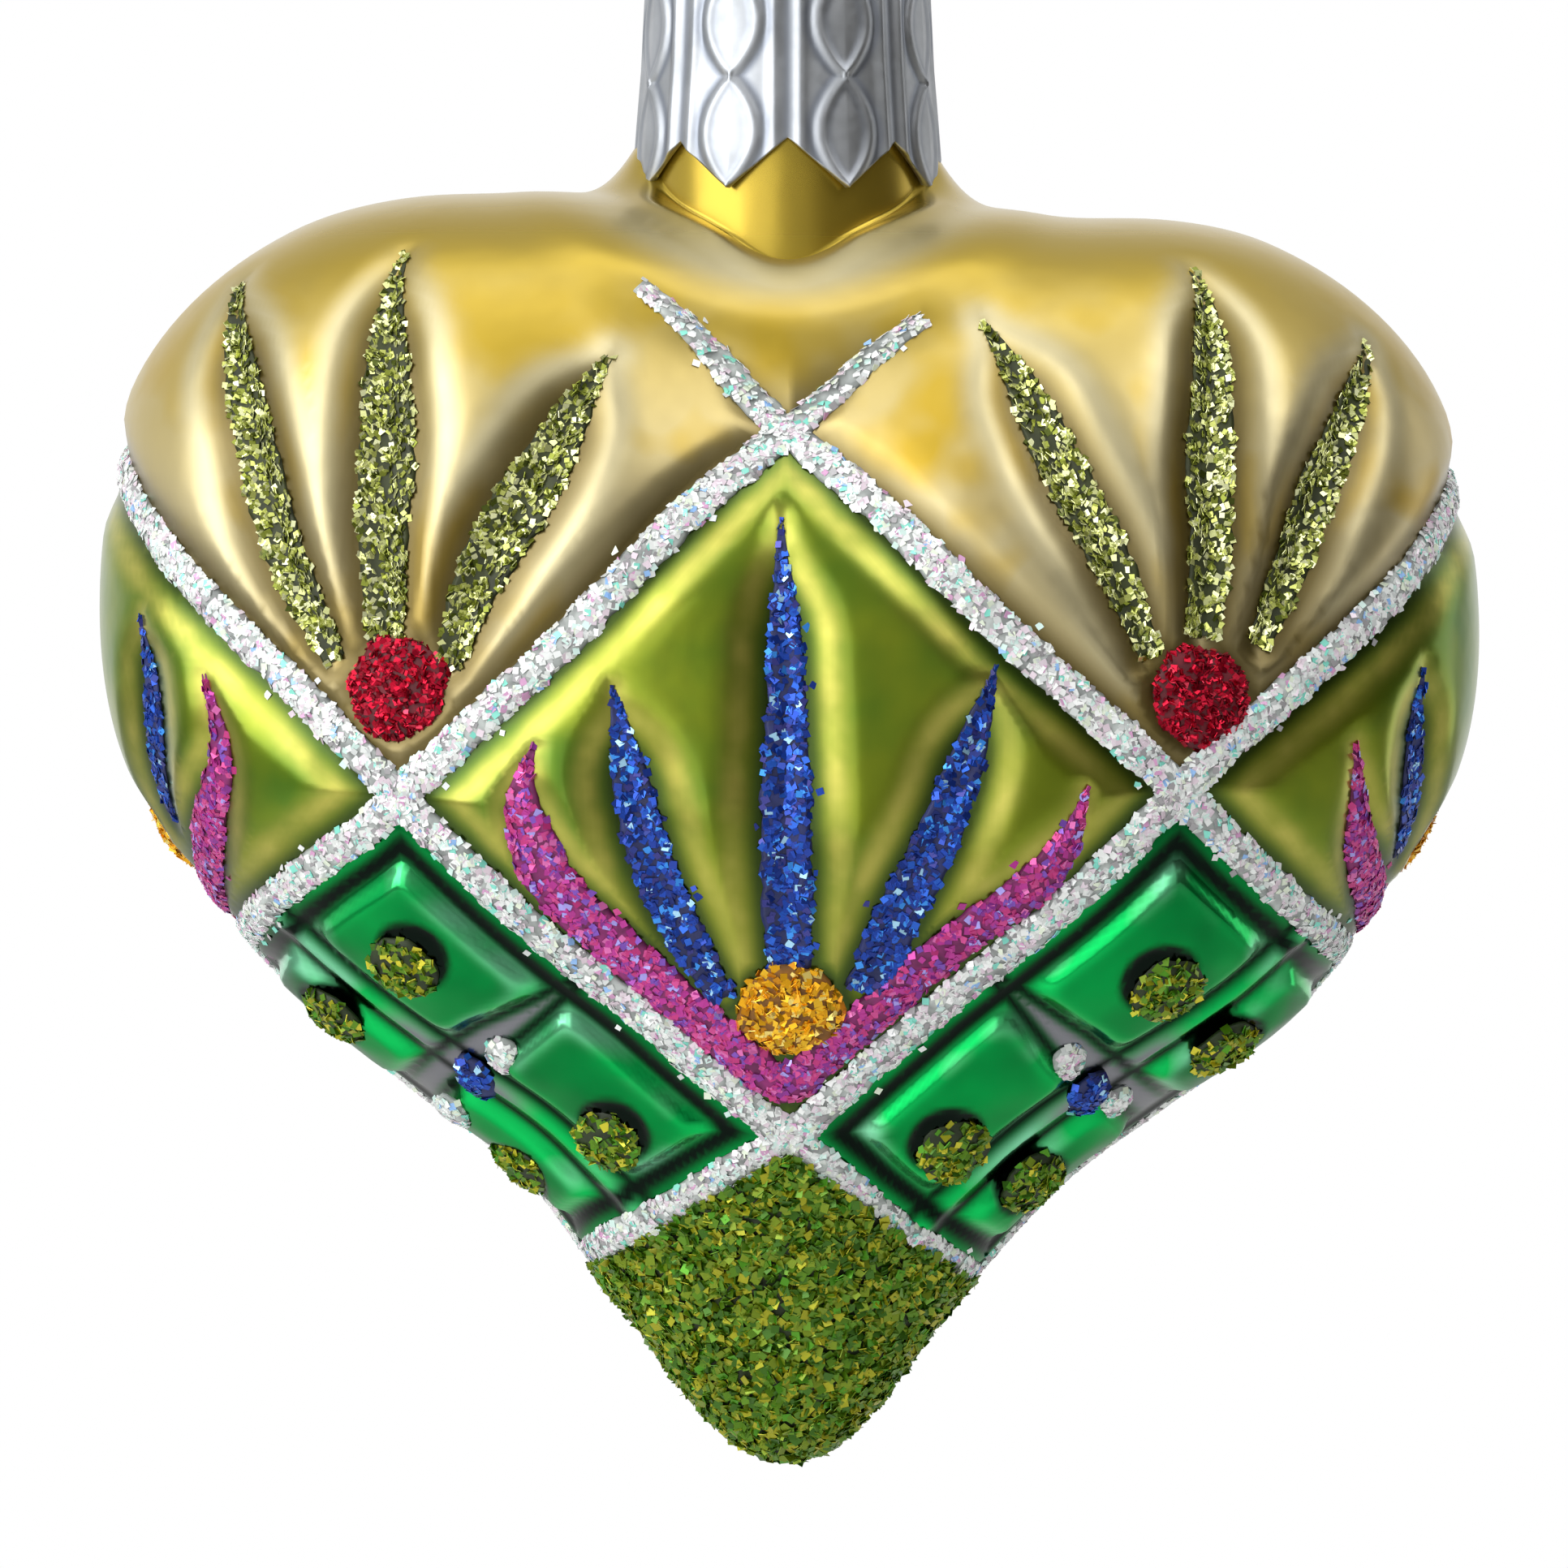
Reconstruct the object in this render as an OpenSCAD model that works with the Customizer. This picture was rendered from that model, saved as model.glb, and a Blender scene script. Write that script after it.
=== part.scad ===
// Hollow blown-glass heart with a stamped sleeve cap, a wire hanger and glitter in lines, rays and dots.
// Millimetres, +Z up, the front faces -Y, the origin is the centre of the hanger loop.

/* [Heart] */
// Width of the heart across both lobes
heart_w = 76; // [66:1:92]
// Height of the glass body from its tip to the dip under the neck
heart_h = 69; // [62:1:84]
// Thickness of the heart from front to back
heart_t = 42; // [38:1:51]
// Thickness of the blown glass
wall = 1; // [0.8:0.1:1.3]
// Distance from the axis at which the body starts to sweep up into the neck
shoulder_r = 12; // [11.5:0.5:13]
// Height of that sweep above the body
sweep_h = 2.5; // [2.2:0.1:3.2]

/* [Neck] */
// Outside radius of the neck at its rim
neck_top_r = 7.1; // [6.8:0.1:7.4]
// Outside radius of the neck at its root
neck_root_r = 8.3; // [8:0.1:8.6]
// Radius of the round bore through the neck
bore_r = 6.1; // [5.7:0.1:6.2]

/* [Cap] */
// Height of the sleeve cap
cap_h = 14; // [12:0.5:17]
// Thickness of the stamped sheet
cap_sheet = 0.35; // [0.3:0.05:0.5]
// Gap between the cap and the neck
cap_gap = 0.25; // [0.2:0.05:0.35]
// How far the lower edge of the cap opens out
cap_flare = 0.6; // [0.5:0.05:0.8]
// Number of points round the lower edge
cap_points = 8; // [6:1:10]
// Depth of the notches between the points
notch_h = 2; // [1.5:0.1:2.4]

/* [Hanger] */
// Thickness of the wire
wire_d = 1.2; // [1:0.1:1.3]
// Radius of the loop to the middle of the wire
loop_r = 5; // [4.5:0.1:6.5]
// Distance of each leg from the axis where it goes through the cap
leg_x = 2.6; // [2.2:0.1:2.8]
// Radius of the bend from the loop into a leg
bend_r = 2; // [1.8:0.1:2.6]
// Radius of the bows that spread the legs
bow_r = 12; // [10:0.5:15]
// Straight run at the end of a leg
leg_end = 3; // [2:0.5:4]
// Gap between a leg and the bore
leg_gap = 0.3; // [0.2:0.05:0.4]
// Gap round the wire in the holes of the cap
hole_gap = 0.25; // [0.2:0.05:0.35]
// How far the cap lifts along the wire
cap_lift = 3; // [2:0.5:4]

/* [Glitter] */
// Width of the white lattice lines
line_w = 1.8; // [1.5:0.1:2]
// Height of the white lattice lines
line_h = 0.6; // [0.4:0.05:0.8]
// Height of the coloured rays
ray_h = 0.5; // [0.4:0.05:0.7]
// Width of the gold-green rays
fan_w = 2.6; // [2:0.1:2.8]
// Width of the blue rays on the faces
blue_w = 2.3; // [1.8:0.1:2.5]
// Width of the blue rays at the sides
side_w = 1.6; // [1.3:0.1:1.8]
// Width of the pink strokes
pink_w = 2.2; // [1.7:0.1:2.3]
// Radius of the red dots
red_r = 2.4; // [2:0.1:2.5]
// Radius of the gold dots
gold_r = 2.4; // [1.8:0.1:2.5]
// Radius of the olive dots in the windows
olive_r = 2; // [1.6:0.1:2.2]
// Radius of the blue middle of a flower
flower_r = 1.1; // [0.9:0.05:1.15]
// Radius of the white dots beside it
petal_r = 0.9; // [0.7:0.05:1]
// Height of all dots
dot_h = 0.7; // [0.5:0.05:0.9]
// Thickness of the glitter coat on the tip
coat_h = 0.4; // [0.3:0.05:0.6]
// Film of clear glue between glitter and glass
glue = 0.1; // [0.08:0.01:0.15]

/* [Hidden] */
// The heart is drawn 76 wide, 69 high and 42 thick about its own centre and stretched to the set size
sx = heart_w / 76;
sy = heart_t / 42;
sz = heart_h / 69;
// Outline radii every 15 degrees from the tip to the dip, the two lobes not quite alike
right_lobe = [40.5, 34.5, 30.5, 30, 32, 34.5, 37.5, 39, 40, 37.5, 32.5, 29.5, 28.5];
left_lobe = [40.5, 34, 29.5, 29, 30.5, 33.5, 37, 39, 40.5, 38.5, 34, 30, 28.5];
half_t = 21;
// Roundness of the cross section, 2 is an ellipse
full = 2.4;
// Shallow valley under the neck on both faces
dip = 0.3;
dip_w = 9;
dip_from = 6;
dip_run = 18;
// Thinning towards the tip
taper = 0.55;
taper_from = 4;
taper_run = 36;

wire_r = wire_d / 2;
bend_z = -sqrt(pow(loop_r + bend_r, 2) - pow(leg_x + bend_r, 2));
cap_top = bend_z - cap_lift - 0.4;
cap_bottom = cap_top - cap_h;
neck_root = cap_bottom + 0.8;
neck_top = cap_top - cap_sheet - 0.3;
heart_z = neck_root - sweep_h - 28.5 * sz;
collar_r = neck_root_r + 0.2;
lining_r = bore_r + 0.7;
leg_out = bore_r - wire_r - leg_gap;
bow_a = acos(1 - (leg_out - leg_x) / (2 * bow_r));
leg_start = cap_top - cap_sheet - 1;

around = 56;
up = 26;
sweep_n = 4;

$fn = 64;

function ease(t) = let(c = min(1, max(0, t))) c * c * (3 - 2 * c);
function mix(a, b, t) = a + (b - a) * t;
function through(a, b, c, d, t) =
    b + t * ((c - a) / 2 + t * (a - 2.5 * b + 2 * c - 0.5 * d + t * (-0.5 * a + 1.5 * b - 1.5 * c + 0.5 * d)));
function lobe_at(lobe, k) = let(a = abs(k)) lobe[a > 12 ? 24 - a : a];

// Radius of the outline in the direction of x and z
function outline(x, z) =
    let(u = (atan2(z, abs(x)) + 90) / 15, i = min(11, floor(u)), lobe = x < 0 ? left_lobe : right_lobe)
    through(lobe_at(lobe, i - 1), lobe_at(lobe, i), lobe_at(lobe, i + 1), lobe_at(lobe, i + 2), u - i);

// Share of the full depth left by the valley and by the thinning towards the tip
function swell(x, z) =
    (1 - dip * exp(-pow(x / dip_w, 2)) * ease((z - dip_from) / dip_run))
    * (1 - taper * ease((-z - taper_from) / taper_run));

// Point of the drawn surface on a ray from the heart's centre, moved out by off
function on_ray(d, off) =
    let(
        h = norm([d.x, d.z]),
        r = h > 0.0001 ? outline(d.x, d.z) + off : 40,
        q = d * pow(pow(h / r, full) + pow(abs(d.y) / (half_t + off), full), -1 / full)
    )
    [q.x, q.y * swell(q.x, q.z), q.z];
function project(q, off = 0) = on_ray([q.x, q.y / swell(q.x, q.z), q.z], off);
function front(x, z) =
    let(s = min(1, norm([x, z]) / outline(x, z)))
    [x, -half_t * swell(x, z) * pow(1 - pow(s, full), 1 / full), z];
function level(q) =
    pow(norm([q.x, q.z]) / outline(q.x, q.z), full) + pow(abs(q.y) / (half_t * swell(q.x, q.z)), full);
function out_dir(q) =
    let(
        e = 0.05,
        g = [
            (level(q + [e, 0, 0]) - level(q - [e, 0, 0])) / sx,
            (level(q + [0, e, 0]) - level(q - [0, e, 0])) / sy,
            (level(q + [0, 0, e]) - level(q - [0, 0, e])) / sz
        ]
    )
    g / norm(g);
function world(q) = [q.x * sx, q.y * sy, q.z * sz + heart_z];

// Ray direction for a turn about the axis and a tilt up from the tip
function aim(turn, tilt) = [sin(tilt) * cos(turn), sin(tilt) * sin(turn), -cos(tilt)];
function reach(turn, tilt, off) = let(q = world(on_ray(aim(turn, tilt), off))) norm([q.x, q.y]);
// Tilt at which the body has come back in to the radius r, found by halving
function tilt_at(turn, r, off, lo = 95, hi = 178, n = 24) =
    n == 0 ? (lo + hi) / 2
    : let(m = (lo + hi) / 2)
      reach(turn, m, off) > r ? tilt_at(turn, r, off, m, hi, n - 1) : tilt_at(turn, r, off, lo, m, n - 1);

// One line of the skin from near the tip to the root of the neck, the last points sweep up into the neck
function skin_line(turn, off, r_start, r_neck) =
    let(
        last = tilt_at(turn, r_start, off),
        body = [for (j = [1:up]) world(on_ray(aim(turn, last * pow(j / up, 1.15)), off))],
        a = body[up - 1],
        b = body[up - 2],
        ra = norm([a.x, a.y]),
        rb = norm([b.x, b.y]),
        slope = (a.z - b.z) / max(0.5, rb - ra),
        bend = min(neck_root - 1, a.z + slope * (ra - r_neck)),
        rise = [for (k = [1:sweep_n])
            let(
                t = k / sweep_n,
                r = (1 - t) * (1 - t) * ra + 2 * t * (1 - t) * r_neck + t * t * r_neck,
                z = (1 - t) * (1 - t) * a.z + 2 * t * (1 - t) * bend + t * t * neck_root
            )
            [r * cos(turn), r * sin(turn), z]]
    )
    concat(body, rise);

// Closed skin from two stacks of rings that share one edge, the first stack outside
module skin(outer, inner, pole_out, pole_in) {
    n = len(outer);
    m = len(outer[0]);
    base = n * m;
    points = concat(
        [for (line = outer) for (q = line) q],
        [for (line = inner) for (q = line) q],
        [pole_out, pole_in]
    );
    faces = concat(
        [for (i = [0:n - 1]) let(k = (i + 1) % n) [2 * base, i * m, k * m]],
        [for (i = [0:n - 1]) let(k = (i + 1) % n) [2 * base + 1, base + k * m, base + i * m]],
        [for (i = [0:n - 1]) for (j = [0:m - 2]) let(k = (i + 1) % n) each [
            [i * m + j, i * m + j + 1, k * m + j],
            [k * m + j, i * m + j + 1, k * m + j + 1],
            [base + i * m + j, base + k * m + j, base + i * m + j + 1],
            [base + k * m + j, base + k * m + j + 1, base + i * m + j + 1]
        ]],
        [for (i = [0:n - 1]) let(k = (i + 1) % n) each [
            [i * m + m - 1, base + i * m + m - 1, k * m + m - 1],
            [k * m + m - 1, base + i * m + m - 1, base + k * m + m - 1]
        ]]
    );
    polyhedron(points, faces, convexity = 6);
}

module glass_heart() {
    turns = [for (i = [0:around - 1]) i * 360 / around];
    color("Goldenrod") {
        skin(
            [for (a = turns) skin_line(a, 0, shoulder_r, collar_r)],
            [for (a = turns) skin_line(a, -wall, shoulder_r - wall, lining_r)],
            world(on_ray([0, 0, -1], 0)),
            world(on_ray([0, 0, -1], -wall))
        );
        rotate_extrude() polygon([
            [bore_r, neck_root - 1],
            [neck_root_r, neck_root - 1],
            [neck_root_r, neck_root],
            [neck_top_r, neck_top - 0.4],
            [neck_top_r - 0.3, neck_top],
            [bore_r + 0.2, neck_top],
            [bore_r, neck_top - 0.2]
        ]);
    }
}

// Outside of the neck at a height, and the inside of the cap over it
function neck_r(z) = mix(neck_root_r, neck_top_r, (z - neck_root) / (neck_top - 0.4 - neck_root));
cap_in = [
    [neck_r(cap_bottom + 2.5) + cap_gap + cap_flare, cap_bottom],
    [neck_r(cap_bottom + 2.5) + cap_gap, cap_bottom + 2.5],
    [neck_r(cap_top - 2) + cap_gap, cap_top - 2]
];
cap_crown = 1.4;

module cap() {
    r_top = cap_in[2].x + cap_sheet;
    outside = concat(
        [for (q = cap_in) [q.x + cap_sheet, q.y]],
        [for (a = [15:15:90])
            [r_top - cap_crown + cap_crown * cos(a), cap_top - cap_crown + cap_crown * sin(a)]]
    );
    inside = concat(
        [for (a = [90:-15:15])
            [r_top - cap_crown + (cap_crown - cap_sheet) * cos(a),
             cap_top - cap_crown + (cap_crown - cap_sheet) * sin(a)]],
        [for (k = [2:-1:0]) cap_in[k]]
    );
    color("Silver") difference() {
        rotate_extrude() polygon(concat(outside, [[0, cap_top], [0, cap_top - cap_sheet]], inside));
        for (i = [0:cap_points - 1])
            rotate([0, 0, i * 360 / cap_points]) translate([0, -6, cap_bottom]) rotate([90, 0, 0])
                linear_extrude(8) polygon([
                    [-8.6 * sin(180 / cap_points), -0.2],
                    [8.6 * sin(180 / cap_points), -0.2],
                    [0, notch_h]
                ]);
        for (side = [-1, 1])
            translate([side * leg_x, 0, cap_top - 2]) cylinder(r = wire_r + hole_gap, h = 4);
    }
}

// Piece of round wire bent in the XZ plane about a centre, between two angles measured from +X
module bent_wire(centre, r, from, to) {
    slack = 3 / r;
    translate([centre.x, 0, centre.y]) rotate([90, 0, 0]) rotate([0, 0, from + slack])
        rotate_extrude(angle = to - from - 2 * slack) translate([r, 0]) circle(r = wire_r);
}
// Straight piece of wire, and the ball that joins two pieces
module straight_wire(x, low, high) {
    translate([x, 0, low + 0.05]) cylinder(r = wire_r, h = high - low - 0.1);
}
module knuckle(x, z) {
    translate([x, 0, z]) sphere(r = wire_r + 0.03);
}

module hanger() {
    touch = atan2(-bend_z, leg_x + bend_r);
    bow_z = bow_r * sin(bow_a);
    leg_low = leg_start - 2 * bow_z;
    color("LightSteelBlue") {
        bent_wire([0, 0], loop_r, -touch, 180 + touch);
        for (side = [-1, 1]) {
            knuckle(side * loop_r * cos(touch), -loop_r * sin(touch));
            knuckle(side * leg_x, bend_z);
            straight_wire(side * leg_x, leg_start, bend_z);
            knuckle(side * leg_x, leg_start);
            knuckle(side * (leg_x + leg_out) / 2, leg_start - bow_z);
            knuckle(side * leg_out, leg_low);
            straight_wire(side * leg_out, leg_low - leg_end, leg_low);
        }
        bent_wire([leg_x + bend_r, bend_z], bend_r, 180 - touch, 180);
        bent_wire([-leg_x - bend_r, bend_z], bend_r, 0, touch);
        bent_wire([leg_x + bow_r, leg_start], bow_r, 180, 180 + bow_a);
        bent_wire([-leg_x - bow_r, leg_start], bow_r, -bow_a, 0);
        bent_wire([leg_out - bow_r, leg_low], bow_r, 0, bow_a);
        bent_wire([bow_r - leg_out, leg_low], bow_r, 180 - bow_a, 180);
    }
}

// Points of a stroke: pairs are x and z on the front face, triples are any place on the heart
function lay(c) = len(c) == 2 ? front(c[0], c[1]) : project(c);
function path(stops, n) =
    let(k = [for (c = stops) lay(c)], m = len(k) - 1)
    [for (i = [0:n])
        let(t = i / n * m, j = min(m - 1, floor(t)))
        project(through(k[max(0, j - 1)], k[j], k[j + 1], k[min(m, j + 2)], t - j))];

// Bead of glitter swept along a path, widest at the share fat of its length
function bead_w(t, ends, wide, fat) =
    t < fat ? mix(ends[0], wide, sin(90 * t / fat)) : mix(ends[1], wide, cos(90 * (t - fat) / (1 - fat)));
module bead(stops, n, ends, wide, fat, tall, face = 1, film = glue) {
    line = [for (q = path(stops, n)) [q.x, q.y * face, q.z]];
    points = [for (i = [0:n])
        let(
            up_dir = out_dir(line[i]),
            run = world(line[min(n, i + 1)]) - world(line[max(0, i - 1)]),
            side = cross(run / norm(run), up_dir),
            w = bead_w(i / n, ends, wide, fat) / 2,
            h = tall * mix(0.5, 1, w * 2 / wide),
            base = world(line[i]) + film * up_dir
        )
        each [
            base - w * side,
            base + w * side,
            base + 0.72 * w * side + 0.65 * h * up_dir,
            base + h * up_dir,
            base - 0.72 * w * side + 0.65 * h * up_dir
        ]];
    faces = concat(
        [[4, 3, 2, 1, 0], [for (k = [0:4]) n * 5 + k]],
        [for (i = [0:n - 1]) for (k = [0:4])
            let(a = i * 5 + k, b = i * 5 + (k + 1) % 5)
            each [[a, b, b + 5], [a, b + 5, a + 5]]]
    );
    polyhedron(points, faces, convexity = 4);
}

// Domed dot of glitter set square on the glass, its flat base just clear of the curve below
module dab(stop, r, face = 1, tall = dot_h) {
    q = lay(stop);
    p = [q.x, q.y * face, q.z];
    d = out_dir(p);
    translate(world(p) + (glue + r * r / 40) * d) rotate([0, acos(d.z), atan2(d.y, d.x)])
        rotate_extrude() polygon(concat([[0, 0]], [for (a = [0:15:90]) [r * cos(a), tall * sin(a)]]));
}

// The lattice of one face: its crossings and where its lines reach the sides
top_knot = [0, 15];
left_knot = [-20.5, -3.5];
right_knot = [20.5, -3];
low_knot = [0, -21.5];
left_end = [-10.5, -28.5];
right_end = [10, -29];
module lattice(face) {
    ends = [0.9, 0.9];
    tip = [0.5, 0.9];
    color("WhiteSmoke") {
        bead([[-38, -1.8, 15.5], [-36, 14], [-28.5, 4.5], left_knot, [-10.5, -12.5], low_knot, right_end],
            30, ends, line_w, 0.5, line_h, face);
        bead([[37, -1.8, 15], [35.5, 13], [28.5, 4.5], right_knot, [10.5, -12], low_knot, left_end],
            30, ends, line_w, 0.5, line_h * 0.9, face, glue + 0.06);
        bead([[-8, 22.5], top_knot, [9.5, 6], right_knot, [28, -10], [30, -2.2, -12]],
            26, tip, line_w, 0.5, line_h, face, glue + 0.02);
        bead([[7, 21], top_knot, [-9.5, 6], left_knot, [-27.5, -10.5], [-29.5, -2.2, -12]],
            26, tip, line_w, 0.5, line_h * 0.9, face, glue + 0.08);
        bead([[-28.8, -2.4, -13.2], [-21, -2.6, -21], [-13.5, -3.6, -27.5], left_end],
            18, ends, line_w, 0.5, line_h * 0.8, face, glue + 0.04);
        bead([[29.3, -2.4, -13.2], [21.5, -2.6, -21.5], [13.8, -3.6, -28], right_end],
            18, ends, line_w, 0.5, line_h * 0.8, face, glue + 0.04);
    }
}
module front_lattice() { lattice(1); }
module back_lattice() { lattice(-1); }

// Rays of the two upper panels, root first
left_rays = [
    [[-23.5, 4.5], [-27, 14], [-29, 23]],
    [[-21.2, 5.5], [-20.8, 15], [-20.5, 24.5]],
    [[-17.8, 4.5], [-13.5, 11], [-9.5, 19]]
];
right_rays = [
    [[18, 5.2], [14.2, 12], [10.5, 21]],
    [[21.6, 6], [22, 14], [21.5, 24]],
    [[24.6, 4], [28.5, 12], [30.5, 20]]
];
module fan_ray(stops, face) {
    color("DarkKhaki") bead(stops, 10, [1.2, 0.6], fan_w, 0.45, ray_h, face);
}
module front_left_ray_1() { fan_ray(left_rays[0], 1); }
module front_left_ray_2() { fan_ray(left_rays[1], 1); }
module front_left_ray_3() { fan_ray(left_rays[2], 1); }
module front_right_ray_1() { fan_ray(right_rays[0], 1); }
module front_right_ray_2() { fan_ray(right_rays[1], 1); }
module front_right_ray_3() { fan_ray(right_rays[2], 1); }
module back_left_ray_1() { fan_ray(left_rays[0], -1); }
module back_left_ray_2() { fan_ray(left_rays[1], -1); }
module back_left_ray_3() { fan_ray(left_rays[2], -1); }
module back_right_ray_1() { fan_ray(right_rays[0], -1); }
module back_right_ray_2() { fan_ray(right_rays[1], -1); }
module back_right_ray_3() { fan_ray(right_rays[2], -1); }

left_red = [-20.5, 2];
right_red = [20.8, 2.3];
module red_dot(stop, face) { color("Crimson") dab(stop, red_r, face); }
module front_left_red_dot() { red_dot(left_red, 1); }
module front_right_red_dot() { red_dot(right_red, 1); }
module back_left_red_dot() { red_dot(left_red, -1); }
module back_right_red_dot() { red_dot(right_red, -1); }

// Middle panel: three blue rays, a pink vee and a gold dot
blue_left = [[-3.8, -11.8], [-7, -5], [-9, 2]];
blue_centre = [[0, -10.5], [-0.2, 0], [-0.5, 10.8]];
blue_right = [[4.2, -11.8], [8, -5], [10.8, 3]];
pink_stops = [
    [-13.2, -0.5], [-13.2, -4], [-11.8, -7], [-9, -10.2], [-4.5, -14.6], [0, -18.4],
    [4.5, -14.6], [9.2, -10.2], [13.5, -6.6], [15.2, -3]
];
gold_stop = [0, -13.8];
module blue_ray(stops, face) { color("RoyalBlue") bead(stops, 10, [1, 0.5], blue_w, 0.4, ray_h, face); }
module pink_vee(face) { color("MediumVioletRed") bead(pink_stops, 26, [0.5, 0.5], pink_w, 0.5, ray_h, face); }
module gold_dot(stop, face) { color("Orange") dab(stop, gold_r, face); }
module front_blue_ray_left() { blue_ray(blue_left, 1); }
module front_blue_ray_centre() { blue_ray(blue_centre, 1); }
module front_blue_ray_right() { blue_ray(blue_right, 1); }
module front_pink_vee() { pink_vee(1); }
module front_gold_dot() { gold_dot(gold_stop, 1); }
module back_blue_ray_left() { blue_ray(blue_left, -1); }
module back_blue_ray_centre() { blue_ray(blue_centre, -1); }
module back_blue_ray_right() { blue_ray(blue_right, -1); }
module back_pink_vee() { pink_vee(-1); }
module back_gold_dot() { gold_dot(gold_stop, -1); }

// Lower panels: an olive dot in each of four windows and a flower where the windows meet
left_windows = [[-20, -12], [-9.5, -21.5], [-24.5, -8, -15], [-14, -6.8, -23.8]];
right_windows = [[19.5, -13], [9, -22], [24.5, -8.5, -15.8], [14, -7, -24.5]];
left_flower = [-16.5, -19];
right_flower = [16, -19.7];
left_petals = [[-14.9, -17.4], [-17.9, -20.4]];
right_petals = [[14.5, -18.1], [17.4, -21.2]];
module window_dots(stops, face) { color("OliveDrab") for (c = stops) dab(c, olive_r, face); }
module flower(stop, face) { color("MediumBlue") dab(stop, flower_r, face); }
module petals(stops, face) { color("White") for (c = stops) dab(c, petal_r, face); }
module front_left_window_dots() { window_dots(left_windows, 1); }
module front_right_window_dots() { window_dots(right_windows, 1); }
module back_left_window_dots() { window_dots(left_windows, -1); }
module back_right_window_dots() { window_dots(right_windows, -1); }
module front_left_flower() { flower(left_flower, 1); }
module front_right_flower() { flower(right_flower, 1); }
module back_left_flower() { flower(left_flower, -1); }
module back_right_flower() { flower(right_flower, -1); }
module front_left_petals() { petals(left_petals, 1); }
module front_right_petals() { petals(right_petals, 1); }
module back_left_petals() { petals(left_petals, -1); }
module back_right_petals() { petals(right_petals, -1); }

// Side panels, centred on the seam: the same design wrapped round the edge of the heart
module side_pink(stops) {
    back = [for (i = [len(stops) - 1:-1:0]) let(q = lay(stops[i])) [q.x, -q.y, q.z]];
    low = project([(back[0].x + lay(stops[len(stops) - 1]).x) / 2, 0, back[0].z - 1]);
    color("MediumVioletRed") bead(concat(stops, [low], back), 24, [0.5, 0.5], pink_w, 0.5, ray_h);
}
module side_blue(stops, face) { color("RoyalBlue") bead(stops, 10, [0.8, 0.5], side_w, 0.4, ray_h, face); }
left_side_blue = [[-33.5, -6, -6], [-34, -0.5], [-34.5, 6]];
right_side_blue = [[33.8, -6.3, -6.5], [33.8, -2], [34, 3.5]];
module left_pink_vee() { side_pink([[-30.5, 2.5], [-30.5, -4.5], [-31, -7, -8.5]]); }
module left_blue_ray_front() { side_blue(left_side_blue, 1); }
module left_blue_ray_seam() { side_blue([[-35.5, 0, -2], [-37, 0, 3], [-38, 0, 10]], 1); }
module left_blue_ray_back() { side_blue(left_side_blue, -1); }
module left_gold_dot() { gold_dot([-33.5, 0, -5.5], 1); }
module right_pink_vee() { side_pink([[30, -1], [30.5, -5.5], [31.3, -7, -8.8]]); }
module right_blue_ray_front() { side_blue(right_side_blue, 1); }
module right_blue_ray_seam() { side_blue([[36, 0, -2], [37.5, 0, 3], [38.2, 0, 9]], 1); }
module right_blue_ray_back() { side_blue(right_side_blue, -1); }
module right_gold_dot() { gold_dot([34.2, 0, -5.8], 1); }

// Coarse glitter coat on the tip, up to just under the lattice
function coat_edge(x) = -23.4 - abs(x) * (x < 0 ? 0.68 : 0.76);
function coat_tilt(turn, lo = 2, hi = 75, n = 20) =
    n == 0 ? lo
    : let(m = (lo + hi) / 2, q = on_ray(aim(turn, m), 0))
      q.z < coat_edge(q.x) ? coat_tilt(turn, m, hi, n - 1) : coat_tilt(turn, lo, m, n - 1);
module tip_coat() {
    film = glue + 0.08;
    rows = 9;
    cols = 40;
    function rim(i, off) =
        let(a = i * 360 / cols, last = coat_tilt(a))
        [for (j = [1:rows]) world(on_ray(aim(a, last * pow(j / rows, 1.1)), off))];
    color("YellowGreen") skin(
        [for (i = [0:cols - 1]) rim(i, film + coat_h)],
        [for (i = [0:cols - 1]) rim(i, film)],
        world(on_ray([0, 0, -1], film + coat_h)),
        world(on_ray([0, 0, -1], film))
    );
}

glass_heart();
cap();
hanger();
tip_coat();
front_lattice();
front_left_ray_1();
front_left_ray_2();
front_left_ray_3();
front_right_ray_1();
front_right_ray_2();
front_right_ray_3();
front_left_red_dot();
front_right_red_dot();
front_blue_ray_left();
front_blue_ray_centre();
front_blue_ray_right();
front_pink_vee();
front_gold_dot();
front_left_window_dots();
front_right_window_dots();
front_left_flower();
front_right_flower();
front_left_petals();
front_right_petals();
back_lattice();
back_left_ray_1();
back_left_ray_2();
back_left_ray_3();
back_right_ray_1();
back_right_ray_2();
back_right_ray_3();
back_left_red_dot();
back_right_red_dot();
back_blue_ray_left();
back_blue_ray_centre();
back_blue_ray_right();
back_pink_vee();
back_gold_dot();
back_left_window_dots();
back_right_window_dots();
back_left_flower();
back_right_flower();
back_left_petals();
back_right_petals();
left_pink_vee();
left_blue_ray_front();
left_blue_ray_seam();
left_blue_ray_back();
left_gold_dot();
right_pink_vee();
right_blue_ray_front();
right_blue_ray_seam();
right_blue_ray_back();
right_gold_dot();
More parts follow.
